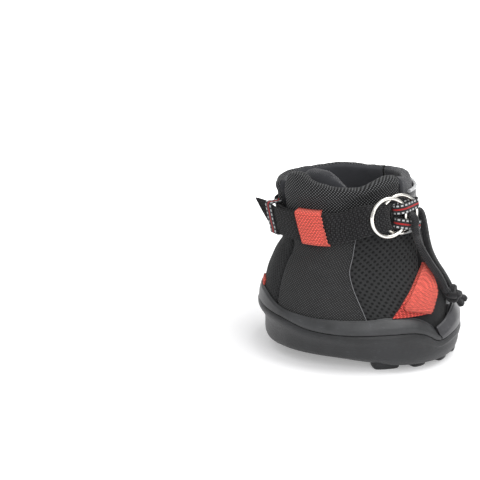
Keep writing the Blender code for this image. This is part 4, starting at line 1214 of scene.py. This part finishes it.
both_sides = ((1, "lateral"), (-1, "medial"))
panel_dip = 0.0009
panel_dip_width = 0.0045
panel_wave = 0.0007
seam_bead_radius = 0.00026
seam_bead_spacing = 0.002
seam_bead_lift = 0.0002
stitch_lift = 0.0001
stitch_spacing = 0.0026
stitch_length = 0.0017
stitch_radius = 0.00022
stitch_tip_share = 0.55
seam_foot_share = 0.28
stitch_top_share = 0.97


def soft_lift(point, edge_distance):
    """How far a cloth panel stands off its plain form: it dips at its seams and is never quite smooth."""
    inside = clamped(edge_distance / panel_dip_width)
    wave = noise.noise(point * 46) + noise.noise(point * 120 + Vector((3, 1, 7))) * 0.35
    return wave * panel_wave * inside - panel_dip * (1.0 - inside) ** 2


def cloth_sheet(name, node, surface, turns, heights, lift_at, inner, columns, rows):
    """Thin sheet on the upper. turns and heights give its edges, and lift_at its outer face."""
    rear, front = turns
    low, high = heights
    loops = []
    for up in spread(0.0, 1.0, rows):
        outside = []
        inside = []
        for across in spread(0.0, 1.0, columns):
            turn = rear(up) * (1 - across) + front(up) * across
            height = low(turn) * (1 - up) + high(turn) * up
            outside.append(upper_point(turn, height, lift_at(upper_base(turn, height), up, across)))
            inside.append(upper_point(turn, height, inner))
        loops.append(outside + inside[::-1])
    return skin(name, loops, [surface], nodes=(node,))


def panel(name, rear, front, surface, node, columns):
    """Upper's panel between two turns, which may change with the height share."""
    def lift_at(base, up, across):
        width = abs(front(up) - rear(up)) * math.radians(1) * upper_half_width
        return soft_lift(base, min(across, 1 - across) * width)

    return cloth_sheet(name, node, surface, (rear, front), (lambda turn: panel_foot, panel_top), lift_at,
                       -panel_thickness, columns, 64)


def make_panels():
    for side, word in both_sides:
        panel("quarter_cloth_" + word, lambda up: side * (heel_seam_turn - seam_turn),
              lambda up: side * (along(seam_shares, up) + seam_turn), nylon, "quarter_" + word, 44)
        panel("side_mesh_cloth_" + word, lambda up: side * (along(seam_shares, up) - seam_turn),
              lambda up: side * (along(front_seam_shares, up) + seam_turn), side_mesh_cloth,
              "side_mesh_" + word, 40)
        panel("stretch_cloth_" + word, lambda up: side * (along(front_seam_shares, up) - seam_turn),
              lambda up: side * front_split_turn, stretch, "stretch_panel_" + word, 34)
    # The heel panel takes the darker mesh copy: painted shade.
    panel("heel_cloth", lambda up: 360.0 - heel_seam_turn - seam_turn, lambda up: heel_seam_turn + seam_turn,
          heel_mesh_cloth_painted_shade, "heel_panel", 52)


def make_lining():
    outer = -(panel_thickness + lining_gap)
    loops = []
    for turn in round_turns(96):
        heights = spread(panel_foot, waist(turn) - lining_drop, 26)
        outside = [upper_point(turn, height, outer) for height in heights]
        inside = [upper_point(turn, height, outer - lining_thickness
                              + noise.noise(upper_base(turn, height) * 50) * panel_wave * 0.5)
                  for height in heights]
        loops.append(outside + inside[::-1])
    skin("lining_sleeve", loops, [lining_cloth], nodes=("lining",), closed=True)


def stitch_line(name, points):
    """Row of short stitches along a line that lies on the cloth."""
    line = even_points(points, stitch_spacing)
    vertices = []
    faces = []
    for start, end in zip(line, line[1:]):
        ahead = (end - start).normalized()
        dots = [start + ahead * stitch_length * share for share in (0, 0.5, 1)]
        base = len(vertices)
        sizes = (stitch_tip_share, 1, stitch_tip_share)
        for dot, (beside, above), size in zip(dots, carried_frames(dots), sizes):
            for side in range(6):
                angle = math.tau * side / 6
                spot = beside * math.cos(angle) + above * math.sin(angle)
                vertices.append(dot + spot * (stitch_radius * size))
        for row in (base, base + 6):
            for side in range(6):
                after = (side + 1) % 6
                faces.append((row + side, row + after, row + 6 + after, row + 6 + side))
        faces.append(tuple(base + side for side in range(5, -1, -1)))
        faces.append(tuple(base + 12 + side for side in range(6)))
    mesh = bpy.data.meshes.new(name)
    mesh.from_pydata(vertices, [], faces)
    smooth_outside(mesh)
    add_piece(name, mesh, [black_thread], "boot", ())


def upper_line(turn_of, low_share, high_share, lift):
    """Line up the upper: turn_of(share of the panel's height) gives its turn."""
    points = []
    for up in spread(low_share, high_share, 60):
        turn = turn_of(up)
        points.append(upper_point(turn, panel_foot * (1 - up) + panel_top(turn) * up, lift))
    return points


def make_seams():
    """Pale bead in each side's middle seam, and stitches beside that seam and the two others."""
    for side, word in both_sides:
        line = upper_line(lambda up: side * along(seam_shares, up), seam_foot_share, 0.985, seam_bead_lift)
        round_tube("seam_bead_" + word, even_points(line, seam_bead_spacing), seam_bead_radius,
                   [pale_thread], 8)
        for place_word, turn_of, foot_share in (
                ("seam_stitches_rear_", lambda up: along(seam_shares, up) + 2.1, seam_foot_share),
                ("seam_stitches_front_", lambda up: along(front_seam_shares, up) + 2.4, 0.3),
                ("heel_stitches_", lambda up: heel_seam_turn - 2.0, 0.36)):
            stitch_line(place_word + word, upper_line(lambda up: side * turn_of(up), foot_share,
                                                      stitch_top_share, stitch_lift))


def pad_at(turn, high, shift, size):
    return smooth_loop(pad_loop(turn, waist(turn) + seam_gap / 2, high, shift, size), 4)


def pad_material(row, column):
    """Woven cloth outside, smooth lining from the middle of the top edge inwards."""
    return 1 if column >= pad_lining_column else 0


def pad_turns(first, last):
    return spread(first, last, int(abs(last - first) / pad_turn_step) + 1)


def pad_size(place_along, total):
    """Rounding of the pad at its two ends, in degrees of turn."""
    share = min(1.0, min(place_along, total - place_along) / pad_end_turn)
    if share == 1.0:
        return 1.0
    return pad_end_share + (1 - pad_end_share) * math.sqrt(max(0.0, 1 - (1 - share) ** 2))


def puff(loops, amount):
    """Uneven stuffing, felt only on the pad's upper part."""
    for loop in loops:
        middle = sum(loop, Vector()) / len(loop)
        top = max(point.z for point in loop)
        low = min(point.z for point in loop)
        for index, point in enumerate(loop):
            high_share = (point.z - low) / (top - low)
            if high_share >= puff_start_share:
                swell = noise.noise(point * 70) + 0.5 * noise.noise(point * 170)
                swell *= amount * (high_share - puff_start_share) / (1 - puff_start_share)
                loop[index] = point + (point - middle).normalized() * swell


flap_cloth_turn = 172.0
pad_lining_column = 26
pad_turn_step = 0.9
pad_end_turn = 2.2
pad_end_share = 0.62
puff_start_share = 0.62
collar_puff = 0.0009
tongue_puff = 0.0006


def make_collar(word, loops, faces_of):
    puff(loops, collar_puff)
    # Woven outside with painted highlights, lining inside.
    piece = skin("collar_pad_" + word, loops, [collar_cloth_painted_highlights, lining_cloth], nodes=("collar_" + word,),
                 sharp=80, faces_of=faces_of)


def make_collars():
    total = collar_rear_turn - collar_front_turn
    loops = [pad_at(turn, rim(turn), 0, pad_size(turn - collar_front_turn, total))
             for turn in pad_turns(collar_front_turn, collar_rear_turn)]
    make_collar("lateral", loops, pad_material)
    turns = pad_turns(-collar_front_turn, flap_end_turn - 360.0)
    total = abs(turns[-1] - turns[0])
    loops = []
    for turn in turns:
        unwound = turn + 360.0
        high = rim(turn)
        shift = 0.0
        if unwound < 180.0:
            high = boot_height * along(inner_flap_rim_shares, unwound)
            dive = clamped((flap_dive_start_turn - unwound) / (flap_dive_start_turn - flap_dive_end_turn))
            dive = dive * dive * (3 - 2 * dive)
            shift = -dive * (collar_thickness + collar_crown + collar_overlap_gap)
            shift -= collar_thickness * along(flap_lean_shares, unwound)
        loops.append(pad_at(turn, high, shift, pad_size(abs(turn - turns[0]), total)))
    flap_start = next(row for row, turn in enumerate(turns) if turn + 360.0 < flap_cloth_turn)
    make_collar("medial", loops, lambda row, column: 1 if row >= flap_start else pad_material(row, column))


def make_tongue():
    limit = collar_front_turn - tongue_margin_turn
    depth = tongue_thickness
    loops = []
    for turn in spread(-limit, limit, 90):
        low = waist(turn) + seam_gap / 2
        high = rim(turn)
        edge = min(1.0, tongue_edge_share + (1 - tongue_edge_share) * (limit - abs(turn)) / tongue_edge_turn)
        outline = ((low, 0.0), ((low + high) / 2, 0.0), (high - depth * 0.5, 0.02),
                   (high - depth * 0.1, 0.22), (high, 0.5), (high - depth * 0.1, 0.78),
                   (high - depth * 0.5, 1.0), ((low + high) / 2, 1.0), (low, 0.9))
        loops.append(smooth_loop([upper_point(turn, height, -depth * (0.5 + (share - 0.5) * edge))
                                  for height, share in outline], 4))
    puff(loops, tongue_puff)
    piece = skin("tongue_pad", loops, [lining_cloth], nodes=("tongue",), sharp=80)


make_panels()
make_lining()
make_seams()
make_collars()
make_tongue()


# Front shield, tab and piping

def curved_sheet(name, node, surface, rear, front, low, high, inner, outer, columns, rows, wave=0.0):
    """Thin sheet on the upper with rounded edges and slight waves."""
    def lift_at(base, up, across):
        near = min(min(across, 1 - across) * (columns - 1), min(up, 1 - up) * (rows - 1))
        tuck = edge_tuck_share * (outer - inner) if near < 0.5 else 0.0
        return outer - tuck + noise.noise(base * 60) * wave * min(1.0, near / 4)

    return cloth_sheet(name, node, surface, (rear, front), (low, high), lift_at, inner, columns, rows)


piping_end_turn = 31.0
edge_tuck_share = 0.25
shield_wave = 0.0003
tab_wave = 0.0004
shield_stitch_turn = 3.0
tab_stitch_inset = 0.0022


def make_front():
    stitch_seat = seat_gap * 2 + stitch_lift
    piping_seat = piping_diameter / 2 + seat_gap

    def edge(up):
        return along(shield_edge_shares, shield_foot_share + (shield_top_share - shield_foot_share) * up)

    curved_sheet("front_shield_leather", "front_shield", leather, edge, lambda up: -edge(up),
                 lambda turn: groove(turn) + shield_foot_gap, lambda turn: boot_height * shield_top_share,
                 seat_gap * 2, shield_thickness + seat_gap * 2, 60, 50, shield_wave)
    for side, word in both_sides:
        points = []
        for share in spread(0.3, 0.575, 50):
            turn = side * along(shield_edge_shares, share)
            point, tangent, _, outward = surface_frame(turn, boot_height * share)
            points.append(point + outward * piping_seat
                          + tangent * side * (piping_diameter / 2 + piping_gap))
        round_tube("shield_piping_tube_" + word, points, piping_diameter / 2, [piping], 14,
                   nodes=("shield_piping_" + word,))
        stitch_line("shield_stitches_" + word,
                    [upper_point(side * (along(shield_edge_shares, share) - shield_stitch_turn),
                                 boot_height * share, shield_thickness + stitch_seat)
                     for share in spread(0.2, 0.565, 60)])
    tab_face = tab_clearance + tab_thickness
    curved_sheet("front_tab_leather", "front_tab", leather, lambda up: tab_side_turn,
                 lambda up: -tab_side_turn, tab_low, tab_high, tab_clearance, tab_face, 130, 26, tab_wave)
    for word, height, step in (("upper", tab_high, 1), ("lower", tab_low, -1)):
        points = [upper_point(turn, height(turn) + step * piping_seat, tab_clearance + piping_diameter / 2)
                  for turn in spread(-tab_side_turn + 4, tab_side_turn - 4, 110)]
        if word == "upper":
            points = [point for point in points if point.x > upper_base(piping_end_turn, height(0)).x]
        round_tube("tab_piping_tube_" + word, points, piping_diameter / 2, [piping], 14,
                   nodes=("tab_piping_" + word,))
        stitch_line("tab_stitches_" + word,
                    [upper_point(turn, height(turn) - step * tab_stitch_inset, tab_face + stitch_lift)
                     for turn in spread(-tab_side_turn + 3, tab_side_turn - 3, 100)])
    curved_sheet("front_loop_webbing", "front_red_loop", red_webbing, lambda up: front_loop_turn,
                 lambda up: -front_loop_turn, lambda turn: boot_height * front_loop_low_share,
                 lambda turn: boot_height * front_loop_high_share - piping_diameter,
                 seat_gap, seat_gap + webbing_thickness, 24, 12)
    low = boot_height * rand_top_shares[-1][1] + seam_gap
    curved_sheet("heel_tag_webbing", "heel_tag", red_webbing, lambda up: 180.0 + heel_tag_turn,
                 lambda up: 180.0 - heel_tag_turn, lambda turn: low, lambda turn: low + heel_tag_height,
                 seat_gap, seat_gap + webbing_thickness, 12, 8)


make_front()


# Red side straps

tooth_pitch = 0.0031
tooth_depth = 0.0015
red_strap_trim = 0.0010
patch_lanes = 17
patch_trim_share = 0.18
pink_start_row = 40
trim_start_row = 12
# Share of the lower layer's rows that take the darker red: painted shade.
painted_shade_share = 0.3
fold_rises = (-0.8, -0.5, 0.0, 0.5, 0.8)


def tooth(place_along):
    """Zigzag of a pinked edge, 0 to 1."""
    beat = (place_along / tooth_pitch) % 1.0
    return 1.0 - abs(2 * beat - 1)


def fine_patch(edges, side, lift, reach_share=0.0, inset=0.0):
    """Points across a strap, the front edge drawn in by inset turns."""
    rear_turn, rear_share, front_turn, front_share = edges
    row = []
    for across in spread(0.0, 1.0, patch_lanes):
        pull = inset * max(0.0, (across - (1 - patch_trim_share)) / patch_trim_share)
        turn = rear_turn + (front_turn - rear_turn) * across + pull
        share = rear_share + (front_share - rear_share) * across + reach_share
        row.append(upper_point(turn * side, boot_height * share, lift))
    return row


def flat_patch(edges, side, first, last, inset=0.0):
    """Closed loop round a strap between two lifts."""
    return fine_patch(edges, side, first, inset=inset) + fine_patch(edges, side, last, inset=inset)[::-1]


def make_red_straps():
    low = red_lower_lift
    layer = low + webbing_thickness
    over = layer + red_layer_gap
    top = over + webbing_thickness
    middle = (layer + over) / 2
    lower_route = smooth_route(red_lower_edges, 8)
    loops = [flat_patch(edges, 1, layer, low) for edges in lower_route]
    fold = red_lower_edges[-1]
    for rise in fold_rises:
        reach = math.sqrt(1 - rise * rise) * red_fold_reach_share
        outer = fine_patch(fold, 1, middle + (over - layer) / 2 * rise, reach * 0.2)
        inner = fine_patch(fold, 1, middle + (top - low) / 2 * rise, reach)
        loops.append(outer + inner[::-1])
    done = 0.0
    last = None
    for number, edges in enumerate(smooth_route(red_upper_edges, 16)):
        here = upper_point(edges[2], boot_height * edges[3], top)
        cut = red_strap_trim * clamped((number - trim_start_row) / (pink_start_row - trim_start_row))
        if number > pink_start_row:
            done += (here - last).length
            cut += tooth_depth * tooth(done)
        last = here
        loops.append(flat_patch(edges, 1, over, top, cut / (upper_half_width * math.radians(1))))
    # The lower layer's first rows take the darker red copy: painted shade under the upper layer.
    painted_shade_rows = int(len(lower_route) * painted_shade_share)
    skin("red_strap_webbing_lateral", loops, [red_webbing, red_webbing_painted_shade], nodes=("red_strap_lateral",),
         faces_of=lambda row, column: 1 if row < painted_shade_rows else 0)
    loops = [flat_patch(edges, -1, layer, low) for edges in smooth_route(red_lower_edges + red_top_edges, 8)]
    skin("red_strap_webbing_medial", loops, [red_webbing], nodes=("red_strap_medial",))


make_red_straps()


# Pastern strap, rings, tapes and keepers

edge_round = 0.3
tail_fullness = 1.8
loop_room = 0.0004
keeper_room = 0.0008
keeper_facing = 0.36
strap_lanes = 13
tape_lanes = 9
loop_lanes = 17
ring_turns = 120
ring_sides = 18
tail_steps = 12
strap_tab_turns = (strap_tab_turn, -48, -56, -64)
strap_round_turns = (-78, -90, -102, -115, -128, -142, -154, -165, -175, -185, -196, -208, -221, -234,
                     -248, strap_landing_turn - 360.0)
strap_end_turns = (strap_landing_turn - 3, 112, 125, 138, 150, 162, strap_tail_turn)


def lane_places(width, thickness, lanes):
    """Places of the webbing's lines across its flat faces, which end before the rounded edges."""
    inner = width / 2 - thickness * edge_round
    return spread(-inner, inner, lanes)


def lanes_across(width, thickness, lanes):
    """The same places measured from one edge, once round the webbing."""
    places = [across + width / 2 for across in lane_places(width, thickness, lanes)]
    return places + [width] + places[::-1] + [0.0]


def flat_section(centre, wide, normal, width, thickness, lanes, shift_of):
    """Cross-section of webbing with rounded edges, from one edge over the outer face and back."""
    loop = []
    places = lane_places(width, thickness, lanes)
    for side in (1, -1):
        loop += [centre + wide * across + normal * (side * thickness / 2) + shift_of(across)
                 for across in places[::side]]
        loop.append(centre + wide * (width / 2 * side) + shift_of(width / 2 * side))
    return loop


def fine_ribbon(name, route, width, thickness, lanes, surface, steps, body="boot", nodes=()):
    """Flat strip through stations of (centre, width direction, width share, fold share)."""
    stations = smooth_route(route, steps)
    loops = []
    for index, (centre, wide, width_share, fold_share) in enumerate(stations):
        ahead = stations[min(index + 1, len(stations) - 1)][0] - stations[max(index - 1, 0)][0]
        wide = wide.normalized()

        def shift_of(across):
            return fold_bend(across) * fold_share if fold_share > 0 else Vector()

        normal = ahead.cross(wide).normalized()
        loops.append(flat_section(centre, wide, normal, width * width_share, thickness, lanes, shift_of))
    return skin(name, loops, [surface], body, nodes, across=lanes_across(width, thickness, lanes))


def make_rings():
    _, rearward, across, outward = buckle_frame()
    for word, back, level, body in (("inner", -ring_offset, inner_ring_level, "boot"),
                                    ("outer", ring_offset, outer_ring_level, "outer_ring")):
        centre = buckle_point(back, 0, level)
        loops = []
        for index in range(ring_turns):
            angle = math.tau * index / ring_turns
            radial = rearward * math.cos(angle) + across * math.sin(angle)
            loop = []
            for side in range(ring_sides):
                turn = math.tau * side / ring_sides
                loop.append(centre + radial * (ring_radius + ring_wire_radius * math.cos(turn))
                            + outward * (ring_wire_radius * math.sin(turn)))
            loops.append(loop)
        skin(word + "_ring_wire", loops, [steel], body, (word + "_ring",), closed=True, sharp=80)


def strap_stations():
    low_lift = strap_lift + webbing_thickness / 2
    under = buckle_base + webbing_thickness / 2
    over = inner_ring_level + fold_gap
    rear = ring_radius + ring_offset
    wire = ring_radius - ring_offset
    nose = fold_reach + fold_gap - webbing_thickness / 2
    beneath = outer_ring_level - ring_wire_radius - fold_clearance - webbing_thickness / 2
    stations = [strap_station(turn, tab_clearance + tab_thickness + low_lift) for turn in strap_tab_turns]
    stations += [strap_station(turn, low_lift) for turn in strap_round_turns]
    stations += [buckle_station(rear + ring_offset, under, 0.0, 0.98),
                 buckle_station(rear - ring_offset, under, 0.4, 0.92),
                 buckle_station(nose + fold_gap, under, 0.9, fold_width_share)]
    for angle in range(0, 181, 30):
        turned = math.radians(angle)
        level = inner_ring_level - fold_gap * math.cos(turned)
        stations.append(buckle_station(nose - fold_gap * math.sin(turned), level, 1.0, fold_width_share))
    stations += [buckle_station(nose + fold_gap, over, 0.9, fold_width_share),
                 buckle_station(wire, over, 0.6, 0.9),
                 buckle_station((wire + rear) / 2, (over + beneath) / 2, 0.3, 0.94),
                 buckle_station(rear - ring_wire_radius, beneath, 0.1, 0.97),
                 buckle_station(rear + ring_wire_radius * 2, beneath, 0.0, 1.0)]
    stations += [strap_station(turn, low_lift + strap_layer + tail_rise * along(tail_rise_shares, turn))
                 for turn in strap_end_turns]
    return stations


def make_strap():
    fine_ribbon("pastern_strap_webbing", strap_stations(), webbing_width, webbing_thickness, strap_lanes,
                black_webbing, 8, nodes=("pastern_strap",))
    centre, upward, _, _ = tail_start()
    _, tangent, _, outward = surface_frame(strap_tail_turn, strap_middle(strap_tail_turn))
    route = []
    centre = centre + tangent * seam_gap
    for share in spread(0.0, 1.0, tail_steps):
        width_share = 1.0 + (tail_tip_share - 1.0) * share ** tail_fullness
        raised = webbing_width * (1 - width_share) / 2 + tail_lift * share
        route.append([centre + upward * raised, upward, width_share, 0.0])
        swing = math.radians(tail_swing * (tail_start_swing_share + (1 - tail_start_swing_share) * share))
        ahead = tangent * math.cos(swing) + outward * math.sin(swing)
        centre = centre + ahead * (tail_reach / (tail_steps - 1))
    fine_ribbon("strap_tail_webbing", route, webbing_width, webbing_thickness, strap_lanes, black_webbing, 3,
                body="strap_tail", nodes=("strap_tail",))


def uneven_tooth(place_along):
    """Depth of a pinked edge, whose teeth differ a little."""
    number = math.floor(place_along / tooth_pitch)
    return tooth_depth * tooth(place_along) * (0.75 + 0.5 * noise.noise(Vector((number * 3.7, 1.3, 0))))


pink_start_share = 0.7


def wrapped_band(name, node, surface, turn, lean, width, thickness, layers, room, stitch, lanes, pink=False,
                 facing=0.0):
    """Loop of webbing that lies close round the strap, its ends on the upper above and below."""
    over = strap_lift + layers * strap_layer + seat_gap + thickness / 2
    flat = seam_gap + thickness / 2
    half = webbing_width / 2 + room
    outline = [(half + stitch, flat), (half + thickness * 0.6, flat),
               (half + thickness * 0.35, (flat + over) / 2), (half - thickness * 0.3, over),
               (half / 2, over + thickness * 0.1)]
    outline += [(0.0, over + thickness * 0.15)] + [(-offset, lift) for offset, lift in outline[::-1]]
    stations = smooth_route(outline, 8)
    middle = strap_middle(turn)
    side = 1 if turn > 0 else -1
    degree = (upper_point(turn + 1, middle, over) - upper_point(turn - 1, middle, over)).length / 2
    places = lane_places(width, thickness, lanes)
    trim_start = places[0] * pink_start_share
    done = 0.0
    loops = []
    for index, (offset, lift) in enumerate(stations):
        before = stations[max(index - 1, 0)]
        after = stations[min(index + 1, len(stations) - 1)]
        run = math.hypot(after[0] - before[0], after[1] - before[1])
        if index:
            done += math.hypot(offset - before[0], lift - before[1])
        trim = uneven_tooth(done) if pink else 0.0

        def at(across, depth):
            if across < trim_start:
                across += trim * (trim_start - across) / (trim_start - places[0])
            here = turn + side * (offset / boot_height * lean + across / degree)
            height = strap_middle(here) + offset + (after[1] - before[1]) / run * depth
            return upper_point(here, height, lift - (after[0] - before[0]) / run * depth + across * facing)

        loops.append([at(across, thickness / 2) for across in places] + [at(width / 2, 0)]
                     + [at(across, -thickness / 2) for across in places[::-1]] + [at(-width / 2, 0)])
    return skin(name, loops, [surface], nodes=(node,), across=lanes_across(width, thickness, lanes))


def make_loops():
    loop_size = (webbing_width * 0.94, webbing_thickness)
    tape_size = (tape_width, tape_thickness)
    wrapped_band("red_loop_webbing_lateral", "red_loop_lateral", red_webbing, red_loop_turn, 14, *loop_size,
                 2.1, loop_room, loop_tuck, loop_lanes, pink=True)
    wrapped_band("red_loop_webbing_medial", "red_loop_medial", red_webbing, -red_loop_turn, 14, *loop_size,
                 1.1, loop_room, loop_tuck, loop_lanes)
    wrapped_band("heel_keeper_tape", "heel_keeper", tape, heel_keeper_turn, 0, *tape_size,
                 3.8, keeper_room, keeper_stitch, tape_lanes, facing=keeper_facing)
    wrapped_band("medial_keeper_tape", "medial_keeper", tape, medial_keeper_turn, 10, *tape_size,
                 2.1, loop_room, keeper_stitch, tape_lanes)


def make_ring_tapes():
    wire = ring_wire_radius
    clear = wire + seam_gap + tape_thickness / 2
    bottom = buckle_base + tape_thickness / 2
    over_outer = outer_ring_level + clear
    over_inner = inner_ring_level + clear
    outer_front = ring_offset - ring_radius
    inner_front = -ring_offset - ring_radius
    line = ((inner_front + wire, bottom - wire), (outer_front, bottom), (tape_mouth - wire * 2, bottom),
            (tape_mouth - wire * 0.4, bottom + wire), (tape_mouth, (bottom + over_outer) / 2),
            (tape_mouth - wire, over_outer - wire * 1.4),
            (outer_front + wire * 2.8, over_outer - wire * 0.1),
            (outer_front, over_outer), (outer_front - wire * 2.6, over_outer - wire * 0.9),
            (inner_front + wire, over_inner), (inner_front - wire * 0.5, over_inner - wire * 0.4),
            (inner_front - clear, inner_ring_level),
            (inner_front - clear - wire * 0.3, inner_ring_level - wire * 2))
    sewn_lift = tab_clearance + tab_thickness + seat_gap + tape_thickness
    _, rearward, across, _ = buckle_frame()
    for name, up_share, rise, sewn_share in tape_shares:
        up = ring_radius * up_share
        tilt = math.radians(rise)
        wide = across * math.cos(tilt) + rearward * math.sin(tilt)
        stations = [[buckle_point(back, up - (back - tape_mouth) * math.tan(tilt), level), wide, 1.0, 0.0]
                    for back, level in line]
        for turn in tape_sewn_turns:
            point, tangent, upward, outward = surface_frame(turn, boot_height * sewn_share)
            stations.append([point + outward * sewn_lift,
                             upward * math.cos(tilt) + tangent * math.sin(tilt), 1.0, 0.0])
        piece = fine_ribbon(name + "_webbing", stations, tape_width, tape_thickness, tape_lanes, tape, 8,
                            body=None, nodes=(name,))
        hinge = buckle_point(ring_offset - ring_radius * ring_hinge_share, up, outer_ring_level)
        mouth = buckle_point(tape_mouth - wire, up, outer_ring_level)
        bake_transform(piece)


make_rings()
make_strap()
make_loops()
make_ring_tapes()


# Floor, backdrop and light

def seen_by(tree, *rays):
    """1 where one of these kinds of ray meets the surface, else 0."""
    path = new_node(tree, "ShaderNodeLightPath", {})
    result = Field(tree, path.outputs[rays[0]])
    for ray in rays[1:]:
        result = result.most(Field(tree, path.outputs[ray]))
    return result


def make_floor():
    """Floor that shows a soft shadow near the boot and is plain white farther off."""
    mesh = bpy.data.meshes.new("floor")
    corners = [(x * floor_reach, y * floor_reach, 0) for x, y in ((-1, -1), (1, -1), (1, 1), (-1, 1))]
    mesh.from_pydata(corners, [], [(0, 1, 2, 3)])
    material = bpy.data.materials.new("floor")
    material.use_nodes = True
    mesh.materials.append(material)
    tree = material.node_tree
    spot = new_node(tree, "ShaderNodeTexCoord", {})
    split = new_node(tree, "ShaderNodeSeparateXYZ", {0: spot.outputs["Object"]})
    ahead = Field(tree, split.outputs[0])
    aside = Field(tree, split.outputs[1])
    away = (ahead * ahead + aside * aside).root().step(floor_glow_near, floor_glow_far)
    direct = seen_by(tree, "Is Camera Ray", "Is Glossy Ray", "Is Transmission Ray")
    set_inputs(tree, tree.nodes["Principled BSDF"], {
        "Base Color": (0.86, 0.86, 0.87, 1), "Roughness": 0.9, "Specular IOR Level": 0.1,
        "Emission Color": (1, 1, 1, 1), "Emission Strength": direct * away.mixed(floor_glow, 1.0)})
    link_object("floor", mesh)


def make_world():
    world = bpy.data.worlds.new("studio")
    bpy.context.scene.world = world
    world.use_nodes = True
    tree = world.node_tree
    direct = seen_by(tree, "Is Camera Ray", "Is Transmission Ray")
    set_inputs(tree, tree.nodes["Background"], {"Color": (1, 1, 1, 1),
                                                "Strength": direct.mixed(world_light, 1.0)})


floor_reach = 6.0
floor_glow = 0.3
floor_glow_near = 0.16
floor_glow_far = 0.6
world_light = 0.62


def add_lamp(name, spot, target, size, power):
    lamp = bpy.data.lights.new(name, "AREA")
    lamp.shape = "RECTANGLE"
    lamp.size = size
    lamp.size_y = size
    lamp.energy = power
    holder = link_object(name, lamp)
    holder.location = spot
    holder.rotation_euler = (Vector(target) - Vector(spot)).to_track_quat("-Z", "Y").to_euler()


make_floor()
make_world()
add_lamp("key", (0.4, -0.2, 1.25), (0, 0, 0.05), 0.9, 10.0)
add_lamp("front", (0.35, -1.15, 0.8), (0, 0, 0.06), 0.7, 6.0)

bpy.context.scene.view_settings.view_transform = "Standard"
